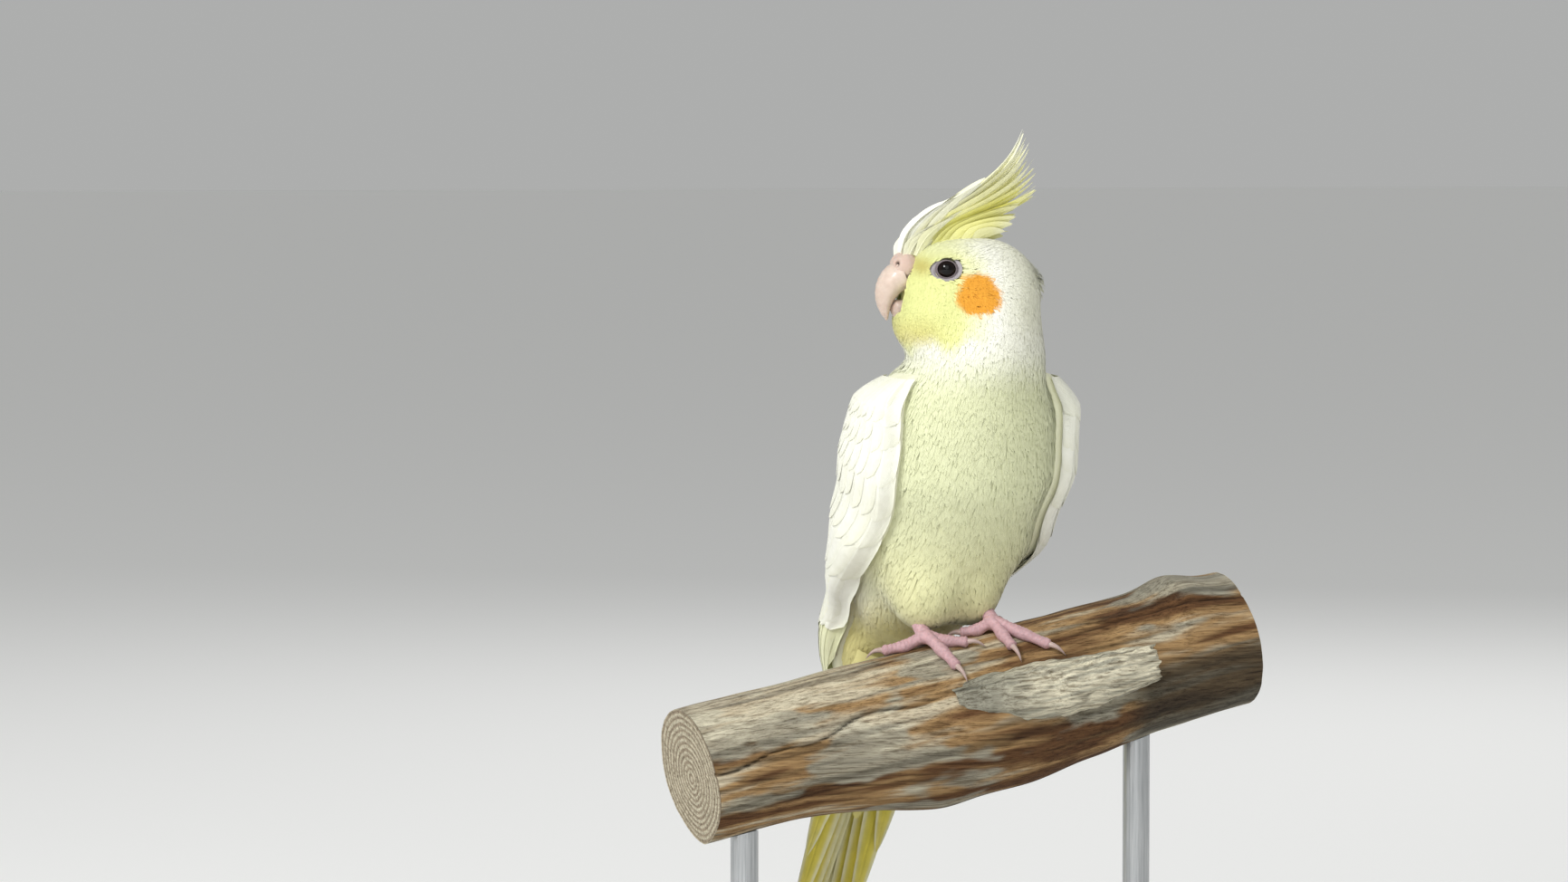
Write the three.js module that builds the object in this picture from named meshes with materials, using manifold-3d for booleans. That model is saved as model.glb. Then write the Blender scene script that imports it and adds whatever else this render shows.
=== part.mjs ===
// A cockatiel of the pale yellow lutino colour, at life size. It stands upright on a cut
// length of branch, with its head turned over its right shoulder, and a plain display
// stand holds the branch. Millimetres, +Z up. The bird faces -Y and its left side is +X.
// The origin is the centre of the underside of the stand's base. The bird, the branch and
// the rods are laid out from the top of the branch between the bird's feet.
import * as THREE from "three";
import { mergeVertices } from "three/addons/utils/BufferGeometryUtils.js";
import Module from "manifold-3d";

const wasm = await Module();
wasm.setup();

const { lerp, degToRad, clamp, smoothstep } = THREE.MathUtils;
const point = (x, y, z) => new THREE.Vector3(x, y, z);

// Driving sizes.
const GAP = 0.3; // clearance that touching nodes keep
const MERGE = 0.005; // corners of a node that lie closer than this become one
const PERCH_TOP = 156; // top of the branch between the feet, above the floor
const BIRD_SHIFT = { x: -4, y: -14 }; // from the base's centre to the feet
const BASE = { width: 172, depth: 136, thick: 12, corner: 22, bevel: 1.5 };
const ROD = { radius: 4, left: 58, right: -68, sides: 20 };

const PERCH = { radius: 20.5, slope: 11.2, right: -86, left: 90, rings: 22, sides: 22 };
const STUB = { from: 2, to: 50, radius: 8.5, angle: 82, out: 11 };

const HEAD = { x: 0, y: -9.5, z: 100, facing: -103 };
// Heights of the spine where the head, the neck, the torso and the tail meet.
const HEAD_CUT = 87.5;
const NECK_CUT = 79;
const TAIL_CUT = -10;

const EYE = { forward: 10.6, up: 7.8, radius: 3.3, sunk: 2.1, ahead: 14, lid: 2.75 };
const BILL = {
  forward: 19,
  up: 0.9,
  radius: 9.7,
  from: 66,
  to: -52,
  width: 5.3,
  thick: [8.4, 8.8, 8.8, 8.6, 8.2, 7.7, 7, 6.2, 4.6, 2.6, 0.4],
};

const TAIL = {
  length: 158,
  lean: 27,
  turn: 3,
  pairs: 6,
  step: 0.95,
  vane: 6.4,
  thick: 0.6,
  restAcross: 13,
  restBack: 5.2,
};

// Blobs whose smooth union is the feathered body. Each has a centre, three radii and the
// lean, in degrees, of its own long axis back from the vertical.
const BODY_BLOBS = [
  { at: [2.5, -8, 81], radii: [17.5, 16.5, 14] },
  { at: [0, -3, 66], radii: [26, 22.5, 19] },
  { at: [0, 2, 52], radii: [29, 25, 24] },
  { at: [0, 12, 34], radii: [27, 24, 26], lean: 28 },
  { at: [0, 25, 19], radii: [21.5, 18.5, 25], lean: 36 },
  { at: [0, 46, 0], radii: [16.5, 11, 26], lean: 36 },
  { at: [5.5, 5, 14], radii: [8.5, 9.5, 10.5] },
  { at: [-9.5, 4, 13.5], radii: [9.5, 10, 11] },
];

// The same for the head, with centres and radii forward, to its left and up from the
// head's own centre.
const HEAD_BLOBS = [
  { at: [-1.6, 0, 1.8], radii: [16.2, 14.6, 14.4] },
  { at: [9, 0, 3.6], radii: [12.5, 11.6, 11.5] },
  { at: [8, 0, -4], radii: [12, 13.4, 11] },
  { at: [12, 0, -8.4], radii: [10.9, 10.5, 8] },
  { at: [-5, 0, -6], radii: [12.6, 17, 17] },
  { at: [-1.5, 0, -17.5], radii: [16.5, 18.5, 17] },
];
const BLEND = 7;

// Stations of the spine from the neck to the root of the tail: how far back, how high,
// and how far the section leans, in degrees.
const SPINE = [
  [-9.5, 88, 0],
  [-9.5, 79, 2],
  [-5, 68, 10],
  [0, 56, 17],
  [6, 44, 25],
  [14, 31, 32],
  [25, 17, 36],
  [37, 3, 36],
  [50, -13, 32],
  [58, -28, 28],
  [82, -75, 27],
  [108, -126, 27],
];

const COLOURS = {
  plumage: [0xf4f1cf, 0.85],
  yellow: [0xeee57a, 0.85],
  bill: [0xd9b8a6, 0.5],
  cere: [0xc9a79c, 0.65],
  eye: [0x1d0f0c, 0.1],
  foot: [0xc79c9c, 0.7],
  claw: [0xb59a92, 0.45],
  wood: [0x9a7a55, 0.9],
  base: [0x4b3a2c, 0.5],
  rod: [0x8f9296, 0.35],
};

// A function that is smooth through evenly spaced values.
function through(values) {
  const curve = new THREE.SplineCurve(values.map((v, i) => new THREE.Vector2(i, v)));
  return (share) => curve.getPoint(clamp(share, 0, 1)).y;
}

const spineBack = through(SPINE.map((row) => row[0]));
const spineUp = through(SPINE.map((row) => row[1]));
const spineLean = through(SPINE.map((row) => row[2]));

// The section frame at a share of the spine: its centre, front and tangent.
function spineFrame(share) {
  const lean = degToRad(spineLean(share));
  return {
    centre: point(0, spineBack(share), spineUp(share)),
    front: point(0, -Math.cos(lean), -Math.sin(lean)),
    along: point(0, Math.sin(lean), -Math.cos(lean)),
  };
}

// The share of the spine at a given height of its centre.
function spineShareAt(height) {
  let low = 0;
  let high = 1;
  for (let i = 0; i < 40; i += 1) {
    const middle = (low + high) / 2;
    if (spineUp(middle) > height) low = middle;
    else high = middle;
  }
  return low;
}

// The head's own axes and a point given forward, left and up from its centre.
const facing = degToRad(HEAD.facing);
const headForward = point(Math.sin(facing), -Math.cos(facing), 0);
const headLeft = point(Math.cos(facing), Math.sin(facing), 0);
const headUp = point(0, 0, 1);
const headCentre = point(HEAD.x, HEAD.y, HEAD.z);

function headPoint(forward, left, up) {
  return headCentre
    .clone()
    .addScaledVector(headForward, forward)
    .addScaledVector(headLeft, left)
    .addScaledVector(headUp, up);
}

const blobs = [
  ...BODY_BLOBS.map(({ at, radii, lean = 0 }) => {
    const tilt = degToRad(lean);
    return {
      at: point(...at),
      radii,
      axes: [
        point(1, 0, 0),
        point(0, Math.cos(tilt), Math.sin(tilt)),
        point(0, -Math.sin(tilt), Math.cos(tilt)),
      ],
    };
  }),
  ...HEAD_BLOBS.map(({ at, radii }) => ({
    at: headPoint(...at),
    radii,
    axes: [headForward, headLeft, headUp],
  })),
];

// How far a point is outside one blob, close to its surface.
function blobDistance(blob, p) {
  let near = 0;
  let steep = 0;
  const offset = p.clone().sub(blob.at);
  for (let i = 0; i < 3; i += 1) {
    const share = offset.dot(blob.axes[i]) / blob.radii[i];
    near += share ** 2;
    steep += (share / blob.radii[i]) ** 2;
  }
  return (Math.sqrt(near) * (Math.sqrt(near) - 1)) / Math.sqrt(steep);
}

// How far a point is outside the body, with the creases between blobs filled.
function bodyDistance(p) {
  let found = Infinity;
  for (const blob of blobs) {
    const next = blobDistance(blob, p);
    const overlap = Math.max(BLEND - Math.abs(found - next), 0);
    found = Math.min(found, next) - overlap ** 2 / (4 * BLEND);
  }
  return found;
}

// The point where a ray from inside leaves the body, at a height above its surface.
function surfacePoint(origin, direction, height = 0) {
  let reach = 70;
  for (let i = 0; i < 80 && reach > 0; i += 1) {
    const gap = bodyDistance(origin.clone().addScaledVector(direction, reach)) - height;
    if (gap < 0.002) break;
    reach -= gap * 0.75;
  }
  return origin.clone().addScaledVector(direction, Math.max(reach, 0));
}

// A direction in a section, turned from the front towards the right side, or towards the
// left where the angle is negative.
function sectionDirection(frame, angle) {
  return frame.front
    .clone()
    .multiplyScalar(Math.cos(angle))
    .add(point(-Math.sin(angle), 0, 0));
}

// A closed solid from a geometry, with its faces pointing out.
function solid(geometry, merge = 1e-4) {
  const bare = new THREE.BufferGeometry();
  const flat = geometry.index ? geometry.toNonIndexed() : geometry;
  bare.setAttribute("position", flat.getAttribute("position"));
  const merged = mergeVertices(bare, merge);
  const vertProperties = merged.attributes.position.array;
  const triVerts = new Uint32Array(merged.index.array);
  const made = new wasm.Manifold(new wasm.Mesh({ numProp: 3, vertProperties, triVerts }));
  if (made.volume() > 0) return made;
  triVerts.reverse();
  return new wasm.Manifold(new wasm.Mesh({ numProp: 3, vertProperties, triVerts }));
}

// A closed solid through rings of points. A ring of one point is a tip, and any other
// ring at an end is closed by a fan round its middle.
function loft(rings) {
  const positions = [];
  const index = [];
  const starts = rings.map((ring) => {
    const start = positions.length / 3;
    for (const p of ring) positions.push(p.x, p.y, p.z);
    return start;
  });
  const close = (ring, start, sides) => {
    const middle = ring.reduce((sum, p) => sum.add(p), point(0, 0, 0));
    middle.divideScalar(ring.length);
    const hub = positions.length / 3;
    positions.push(middle.x, middle.y, middle.z);
    for (let i = 0; i < ring.length; i += 1) {
      const next = (i + 1) % ring.length;
      index.push(...(sides ? [hub, start + next, start + i] : [hub, start + i, start + next]));
    }
  };
  for (let r = 0; r + 1 < rings.length; r += 1) {
    const [a, b] = [starts[r], starts[r + 1]];
    const [m, n] = [rings[r].length, rings[r + 1].length];
    for (let i = 0; i < Math.max(m, n); i += 1) {
      const next = (i + 1) % Math.max(m, n);
      if (n > 1) index.push(a + (m > 1 ? i : 0), b + next, b + i);
      if (m > 1) index.push(a + i, a + next, b + (n > 1 ? next : 0));
    }
  }
  if (rings[0].length > 1) close(rings[0], starts[0], true);
  const last = rings.length - 1;
  if (rings[last].length > 1) close(rings[last], starts[last], false);
  const geometry = new THREE.BufferGeometry();
  geometry.setAttribute("position", new THREE.Float32BufferAttribute(positions, 3));
  geometry.setIndex(index);
  return solid(geometry);
}

// An ellipse of points round a centre.
function ellipse(centre, across, upward, sides) {
  const ring = [];
  for (let i = 0; i < sides; i += 1) {
    const turn = (2 * Math.PI * i) / sides;
    ring.push(
      centre.clone().addScaledVector(across, Math.cos(turn)).addScaledVector(upward, Math.sin(turn)),
    );
  }
  return ring;
}

// An ellipsoid in the head's own axes.
function headEllipsoid([forward, left, up], [a, b, c], detail = 10) {
  const turn = new THREE.Matrix4().makeBasis(headForward, headLeft, headUp);
  turn.setPosition(headPoint(forward, left, up));
  const ball = new THREE.SphereGeometry(1, 2 * detail, detail);
  return solid(ball.scale(a, b, c).applyMatrix4(turn));
}

const union = (parts) => wasm.Manifold.union(parts);

// The largest closed body of a solid, which drops loose scraps.
function largest(made) {
  const bodies = made.decompose().sort((a, b) => b.volume() - a.volume());
  return bodies[0];
}

// Rings of the body between two shares of the spine, at a height above its surface.
function bodyRings(from, to, count, sides, height) {
  const rings = [];
  for (let r = 0; r < count; r += 1) {
    const frame = spineFrame(lerp(from, to, r / (count - 1)));
    const ring = [];
    for (let i = 0; i < sides; i += 1) {
      const direction = sectionDirection(frame, (2 * Math.PI * i) / sides);
      ring.push(surfacePoint(frame.centre, direction, height));
    }
    rings.push(ring);
  }
  return rings;
}

const neckTop = spineShareAt(HEAD_CUT - GAP);
const neckBottom = spineShareAt(NECK_CUT + GAP);
const torsoTop = spineShareAt(NECK_CUT);

function torsoSolid(height = 0) {
  return loft(bodyRings(torsoTop, spineShareAt(TAIL_CUT), 20, 32, height));
}

function neckSolid(height = 0) {
  return loft(bodyRings(neckTop, neckBottom, 4, 32, height));
}

// The head: level rings up to its centre, then a dome of rays.
function headSolid(height = 0, sides = 32) {
  const rings = [];
  const levels = 6;
  const dome = 8;
  const pivot = headPoint(1, 0, 1);
  for (let r = 0; r < levels + dome; r += 1) {
    const rise = r < levels ? 0 : ((r - levels) / dome) * (Math.PI / 2);
    const origin = pivot.clone();
    if (r < levels) origin.z = lerp(HEAD_CUT, pivot.z, r / levels);
    const ring = [];
    for (let i = 0; i < sides; i += 1) {
      const turn = (2 * Math.PI * i) / sides;
      const direction = headForward
        .clone()
        .multiplyScalar(Math.cos(turn) * Math.cos(rise))
        .addScaledVector(headLeft, Math.sin(turn) * Math.cos(rise))
        .addScaledVector(headUp, Math.sin(rise));
      ring.push(surfacePoint(origin, direction, height));
    }
    rings.push(ring);
  }
  rings.push([surfacePoint(pivot, headUp, height)]);
  return loft(rings);
}

// Where an eye sits. Its side is 1 for the left eye and -1 for the right one.
function eyeFrame(side) {
  const ahead = degToRad(EYE.ahead);
  const axis = headLeft
    .clone()
    .multiplyScalar(side * Math.cos(ahead))
    .addScaledVector(headForward, Math.sin(ahead));
  const outward = headLeft.clone().multiplyScalar(side);
  const skin = surfacePoint(headPoint(EYE.forward, 0, EYE.up), outward);
  return { axis, centre: skin.addScaledVector(axis, -EYE.sunk) };
}

function eyeSolid(side, extra = 0) {
  const { axis, centre } = eyeFrame(side);
  const ball = new THREE.SphereGeometry(EYE.radius + extra, 16, 10);
  const turn = new THREE.Quaternion().setFromUnitVectors(point(0, 1, 0), axis);
  return solid(ball.applyQuaternion(turn).translate(centre.x, centre.y, centre.z));
}

// The bare ring of skin round an eye, with its lid edge.
function lidSolid(side) {
  const { axis, centre } = eyeFrame(side);
  const ring = new THREE.TorusGeometry(EYE.lid, 0.85, 6, 18);
  ring.scale(1, 1, 0.9);
  const turn = new THREE.Quaternion().setFromUnitVectors(point(0, 0, 1), axis);
  const lift = Math.sqrt(EYE.radius ** 2 - (EYE.lid - 0.3) ** 2) - 0.35;
  const middle = centre.clone().addScaledVector(axis, lift);
  return solid(ring.applyQuaternion(turn).translate(middle.x, middle.y, middle.z));
}

// The upper bill follows an arc from the forehead down to its hooked tip. It is deep as
// far as the notch in its cutting edge, and slender below it.
const billThick = through(BILL.thick);

function upperBillSolid(extra = 0) {
  const rings = [];
  const count = 9;
  for (let r = 0; r < count; r += 1) {
    const share = r / count;
    const turn = degToRad(lerp(BILL.from, BILL.to, share));
    const depth = billThick(share) / 2 + extra;
    const width = BILL.width * (1 - share ** 2) ** 0.6 + extra;
    const out = BILL.radius + extra - depth + 0.6 * share ** 3;
    const middle = headPoint(
      BILL.forward + out * Math.cos(turn),
      0,
      BILL.up + out * Math.sin(turn),
    );
    const spoke = headForward
      .clone()
      .multiplyScalar(Math.cos(turn))
      .addScaledVector(headUp, Math.sin(turn));
    rings.push(ellipse(middle, headLeft.clone().multiplyScalar(width), spoke.multiplyScalar(depth), 16));
  }
  const tip = degToRad(BILL.to);
  const reach = BILL.radius + 0.6 + extra;
  rings.push([
    headPoint(BILL.forward + reach * Math.cos(tip), 0, BILL.up + reach * Math.sin(tip)),
  ]);
  return loft(rings);
}

// The lower bill: a short scoop tucked behind the hook.
function lowerBillSolid(extra = 0) {
  const rings = [];
  const count = 6;
  for (let r = 0; r < count; r += 1) {
    const share = r / (count - 1);
    const middle = headPoint(lerp(14, 23.8, share), 0, lerp(-3.4, -3.2, share));
    const width = lerp(4.9, 2.4, share ** 1.6) + extra;
    const depth = lerp(3, 1.6, share) + extra;
    rings.push(
      ellipse(middle, headLeft.clone().multiplyScalar(width), headUp.clone().multiplyScalar(depth), 14),
    );
  }
  return loft(rings);
}

// The cere: two fleshy lobes over the bill's root, each with a nostril.
function cereSolid(extra = 0) {
  const grow = (radii) => radii.map((radius) => radius + extra);
  return union([
    headEllipsoid([20.6, 2.1, 8.6], grow([3.6, 3.4, 3.9]), 7),
    headEllipsoid([20.6, -2.1, 8.6], grow([3.6, 3.4, 3.9]), 7),
  ]);
}

function nostrils() {
  return union([1, -1].map((side) => headEllipsoid([23.2, side * 3.9, 9.2], [1, 1, 0.9], 4)));
}

// A thin vane through stations. Each station has its left edge, its middle and its right
// edge, the direction that is outward there, and half its thickness. Both faces are split
// into the same triangles, and the vane ends in a point.
function vaneSolid(stations, tip) {
  const positions = [];
  const index = [];
  for (const { left, middle, right, outward, half } of stations) {
    const top = middle.clone().addScaledVector(outward, half);
    const bottom = middle.clone().addScaledVector(outward, -half);
    for (const p of [left, top, right, bottom]) positions.push(p.x, p.y, p.z);
  }
  positions.push(tip.x, tip.y, tip.z);
  for (let r = 0; r + 1 < stations.length; r += 1) {
    const [a, b] = [r * 4, r * 4 + 4];
    index.push(a, a + 1, b + 1, a, b + 1, b);
    index.push(a + 3, a, b, a + 3, b, b + 3);
    index.push(a + 1, a + 2, b + 1, a + 2, b + 2, b + 1);
    index.push(a + 2, a + 3, b + 3, a + 2, b + 3, b + 2);
  }
  const last = stations.length * 4 - 4;
  for (let i = 0; i < 4; i += 1) index.push(last + i, last + ((i + 1) % 4), last + 4);
  index.push(0, 3, 1, 1, 3, 2);
  const geometry = new THREE.BufferGeometry();
  geometry.setAttribute("position", new THREE.Float32BufferAttribute(positions, 3));
  geometry.setIndex(index);
  return solid(geometry);
}

// Half the width of a feather along its length, as a share of its widest.
function featherWidth(share, blunt = 0.5) {
  return (0.55 + 0.45 * smoothstep(share, 0, 0.35)) * (1 - share ** (2 + 6 * blunt)) ** 0.6;
}

// The tail proxy: a flat envelope that the folded wing tips lie on.
const tailLean = degToRad(TAIL.lean);
const tailRoot = point(0, 45.5, -8);
const tailTurn = degToRad(TAIL.turn);
const tailAlong = point(0, Math.sin(tailLean), -Math.cos(tailLean))
  .multiplyScalar(Math.cos(tailTurn))
  .add(point(-Math.sin(tailTurn), 0, 0));
const tailBack = point(0, Math.cos(tailLean), Math.sin(tailLean));

function tailPoint(across, along, back) {
  return tailRoot
    .clone()
    .add(point(across, 0, 0))
    .addScaledVector(tailAlong, along)
    .addScaledVector(tailBack, back);
}

// One tail feather of a pair. Pair 0 is the longest and lies at the back.
function tailFeather(pair, side, extra) {
  const length = TAIL.length * (1 - 0.05 * pair - 0.012 * pair ** 2);
  const count = 5;
  const stations = [];
  for (let r = 0; r < count; r += 1) {
    const share = r / count;
    const along = length * share;
    const spread = side * (1.6 + 1.45 * pair) * (0.75 + 0.35 * share);
    const half = TAIL.vane * featherWidth(share, 0.12) * (1 - 0.35 * share) + extra;
    const layer = 2.6 - TAIL.step * pair;
    const sag = 0.9;
    const at = (offset, drop) => tailPoint(spread + offset, along, layer - drop);
    stations.push({
      left: at(-half, sag),
      middle: at(0, 0),
      right: at(half, sag),
      outward: tailBack,
      half: TAIL.thick + extra,
    });
  }
  const spread = side * (1.6 + 1.45 * pair) * 1.1;
  return vaneSolid(stations, tailPoint(spread, length, 2.4 - TAIL.step * pair));
}

// The fleshy root of the tail under its coverts.
function tailCore(extra) {
  const rings = [];
  for (let r = 0; r < 7; r += 1) {
    const share = r / 6;
    const width = lerp(14.5, 8, share) + extra;
    const depth = lerp(9.6, 1.6, share ** 0.7) + extra;
    rings.push(
      ellipse(
        tailPoint(0, lerp(-3, 46, share), 0),
        point(width, 0, 0),
        tailBack.clone().multiplyScalar(depth),
        18,
      ),
    );
  }
  return loft(rings);
}

// A short covert over or under the root of the tail.
function tailCovert(across, from, length, side, extra) {
  const stations = [];
  for (let r = 0; r < 4; r += 1) {
    const share = r / 4;
    const half = 4.4 * featherWidth(share, 0.6) + extra;
    const level = side * lerp(8, 3.4, share) * (1 - 0.0035 * across ** 2);
    const at = (offset) => tailPoint(across + offset, from + length * share, level);
    stations.push({
      left: at(-half),
      middle: at(0),
      right: at(half),
      outward: tailBack,
      half: 0.55 + extra,
    });
  }
  return vaneSolid(stations, tailPoint(across, from + length, side * 3.4));
}

function tailSolid(extra = 0) {
  const feathers = [tailCore(extra)];
  for (let pair = 0; pair < TAIL.pairs; pair += 1) {
    feathers.push(tailFeather(pair, 1, extra), tailFeather(pair, -1, extra));
  }
  for (const across of [-6, 0, 6]) {
    feathers.push(tailCovert(across, 14, 40 - Math.abs(across), 1, extra));
    feathers.push(tailCovert(across, 12, 38 - Math.abs(across), -1, extra));
  }
  return union(feathers);
}

// The folded wing lies on the body. Along it runs from the wrist, 0, to the tip, 1, and
// across it runs from the leading edge, 0, to the edge over the back, 1.
const WING = {
  from: 0.1,
  lead: [78, 65, 60, 66, 80, 94, 97, 102, 111, 120],
  trail: [112, 134, 150, 162, 168, 170, 170, 164, 154, 138],
  thick: [7.4, 5.2, 4.6, 4.6, 5.6, 5.2, 4, 3.4, 2.8, 2],
  length: 158,
};
const wingLead = through(WING.lead.map(degToRad));
const wingTrail = through(WING.trail.map(degToRad));
const wingThick = through(WING.thick);

// The share of the spine that lies a given length down the spine from the wrist.
function spineShareAlong(length) {
  const steps = 240;
  let travelled = 0;
  let before = spineFrame(WING.from).centre;
  for (let i = 1; i <= steps; i += 1) {
    const share = lerp(WING.from, 1, i / steps);
    const next = spineFrame(share).centre;
    travelled += next.distanceTo(before);
    if (travelled >= length) return share;
    before = next;
  }
  return 1;
}

// The tail end of the body that wings rest on, past the end of the blobs.
function wingFloor(frame, direction) {
  const skin = surfacePoint(frame.centre, direction).distanceTo(frame.centre);
  const sine = Math.abs(direction.x) / TAIL.restAcross;
  const cosine = Math.sqrt(1 - direction.x ** 2) / TAIL.restBack;
  const tail = 1 / Math.hypot(sine, cosine);
  const overlap = Math.max(BLEND - Math.abs(skin - tail), 0);
  return Math.max(skin, tail) + overlap ** 2 / (4 * BLEND);
}

// A point of the folded wing at a height above what it lies on, with the way outward.
function wingPoint(side, along, across, height) {
  const frame = spineFrame(spineShareAlong(WING.length * along));
  const angle = lerp(wingLead(along), wingTrail(along), across);
  const direction = sectionDirection(frame, side * angle);
  const reach = wingFloor(frame, direction) + height;
  return { at: frame.centre.clone().addScaledVector(direction, reach), outward: direction };
}

// Height of the wing's flesh and covert mass over the body. It is round and full at the
// leading edge, and thins towards the back.
function wingHeight(along, across) {
  const front = Math.sqrt(1 - (1 - clamp(across / 0.16, 0.04, 1)) ** 2);
  const back = Math.sqrt(1 - clamp((across - 0.75) / 0.25, 0, 0.97) ** 2);
  const start = Math.sqrt(clamp(along / 0.06, 0, 1));
  return wingThick(along) * front * back * start * (1.3 - 0.55 * across);
}

function wingCore(side) {
  const rings = [];
  const rows = 10;
  const columns = 6;
  for (let r = 0; r < rows; r += 1) {
    const along = 0.86 * (r / (rows - 1)) ** 1.35;
    const fade = 1 - 0.45 * smoothstep(along, 0.3, 0.86);
    const outer = [];
    const inner = [];
    for (let c = 0; c <= columns; c += 1) {
      const across = c / columns;
      const height = wingHeight(along, across) * fade;
      outer.push(wingPoint(side, along, across, Math.max(height, 0.9)).at);
      inner.push(wingPoint(side, along, across, -1.6).at);
    }
    rings.push([...outer, ...inner.reverse()]);
  }
  return loft(rings);
}

// A wing feather between two places on the wing, at a height over the core's surface.
function wingFeather(side, feather) {
  const { root, tip, width, lift, tilt, blunt, count, half } = feather;
  const stations = [];
  for (let r = 0; r < count; r += 1) {
    const share = r / count;
    const along = lerp(root[0], tip[0], share);
    const across = lerp(root[1], tip[1], share);
    const middle = wingPoint(side, along, across, wingHeight(along, across) + lift);
    const reach = width * featherWidth(share, blunt);
    const centre = spineFrame(spineShareAlong(WING.length * along)).centre;
    const span = wingTrail(along) - wingLead(along);
    const step = reach / (middle.at.distanceTo(centre) * span);
    const edge = (offset, rise) =>
      wingPoint(side, along, across + offset, wingHeight(along, across) + lift + rise).at;
    stations.push({
      left: edge(-step, tilt - 0.35),
      middle: middle.at,
      right: edge(step, -tilt - 0.35),
      outward: middle.outward,
      half,
    });
  }
  const end = wingPoint(side, tip[0], tip[1], wingHeight(tip[0], tip[1]) + lift - 0.1);
  return vaneSolid(stations, end.at);
}

// The tiers of a folded wing, from the shoulder to the tip.
const WING_TIERS = [
  { count: 4, root: 0.12, tip: 0.29, slant: 0.04, width: 7, lift: 0.3, blunt: 0.9, stations: 3 },
  { count: 5, root: 0.22, tip: 0.45, slant: 0.06, width: 6.2, lift: 0.25, blunt: 0.8, stations: 3 },
  { count: 6, root: 0.36, tip: 0.67, slant: 0.14, width: 5.4, lift: 0.15, blunt: 0.6, stations: 4 },
];

// The longest feathers, whose ends cross over the tail.
const PRIMARIES = { count: 3, root: 0.6 };

function wingFeathers() {
  const feathers = [];
  for (const tier of WING_TIERS) {
    for (let i = 0; i < tier.count; i += 1) {
      const across = (i + 0.5) / tier.count;
      const bow = tier.slant * (across - 0.35);
      feathers.push({
        root: [tier.root + bow * 0.4, lerp(0.1, 0.9, across)],
        tip: [tier.tip + bow, lerp(0.06, 0.94, across)],
        width: tier.width,
        lift: tier.lift + 0.12 * i,
        tilt: 0.25,
        blunt: tier.blunt,
        count: tier.stations,
        half: 0.45,
      });
    }
  }
  for (let i = 0; i < PRIMARIES.count; i += 1) {
    const share = i / (PRIMARIES.count - 1);
    feathers.push({
      root: [PRIMARIES.root, lerp(0.14, 0.5, share)],
      tip: [lerp(0.78, 1, share), lerp(0.2, 0.5, share)],
      width: 4.2,
      lift: 0.2 + 0.25 * i,
      tilt: 0.2,
      blunt: 0.25,
      count: 3,
      half: 0.5,
    });
  }
  return feathers;
}

function wingSolid(side) {
  return union([wingCore(side), ...wingFeathers().map((feather) => wingFeather(side, feather))]);
}

// The crest, feather by feather. Roots and tips are forward and up from the head's centre.
// A shaft leaves its root along rise and comes to its tip from fall, both also forward and
// up. Each tier's feathers run from its first to its last values.
const CREST = {
  front: {
    count: 3,
    root: [[23, 11.8], [19, 14]],
    rise: [[-2.5, 8], [-4, 9]],
    fall: [[6, -3.5], [7, -4.5]],
    tip: [[9, 27], [-3, 33.4]],
    width: 4.2,
  },
  plumes: {
    count: 6,
    root: [[20.5, 12.5], [11, 15]],
    rise: [[-4, 11.5], [-4, 6]],
    fall: [[7, -20], [10, -5.5]],
    tip: [[-14.9, 48.2], [-18.6, 28.4]],
    width: 3,
  },
  rear: {
    count: 3,
    root: [[11, 15.5], [1, 16]],
    rise: [[-4, 5], [-3, 2.5]],
    fall: [[7, -3], [5, 0.8]],
    tip: [[-14.5, 26], [-9, 17.4]],
    width: 3.6,
  },
};
const CREST_CORE = { root: [19, 10], rise: [-2, 8], fall: [14, -4], tip: [-6, 26] };

function crestShaft({ root, rise, fall, tip }, lateral) {
  return new THREE.CubicBezierCurve3(
    headPoint(root[0], lateral[0], root[1]),
    headPoint(root[0] + rise[0], lateral[0], root[1] + rise[1]),
    headPoint(tip[0] + fall[0], lateral[1], tip[1] + fall[1]),
    headPoint(tip[0], lateral[1], tip[1]),
  );
}

function crestFeather(shaft, width) {
  const count = 5;
  const stations = [];
  for (let r = 0; r < count; r += 1) {
    const share = r / count;
    const middle = shaft.getPoint(share);
    const tangent = shaft.getTangent(share);
    const outward = new THREE.Vector3().crossVectors(tangent, headLeft).normalize();
    const half = width * (1 - share) ** 0.75 + 0.25;
    stations.push({
      left: middle.clone().addScaledVector(headLeft, half),
      middle: middle.clone().addScaledVector(outward, 0.5),
      right: middle.clone().addScaledVector(headLeft, -half),
      outward,
      half: 0.9 * (1 - 0.6 * share),
    });
  }
  return vaneSolid(stations, shaft.getPoint(1));
}

// The packed roots of the crest over the brow.
function crestCore() {
  const shaft = crestShaft(CREST_CORE, [0, 0]);
  const rings = [];
  for (let r = 0; r < 6; r += 1) {
    const share = r / 6;
    const tangent = shaft.getTangent(share);
    const outward = new THREE.Vector3().crossVectors(tangent, headLeft).normalize();
    rings.push(
      ellipse(
        shaft.getPoint(share),
        headLeft.clone().multiplyScalar(6 * (1 - 0.5 * share)),
        outward.multiplyScalar(4.8 * (1 - 0.5 * share)),
        10,
      ),
    );
  }
  rings.push([shaft.getPoint(1)]);
  return loft(rings);
}

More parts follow.
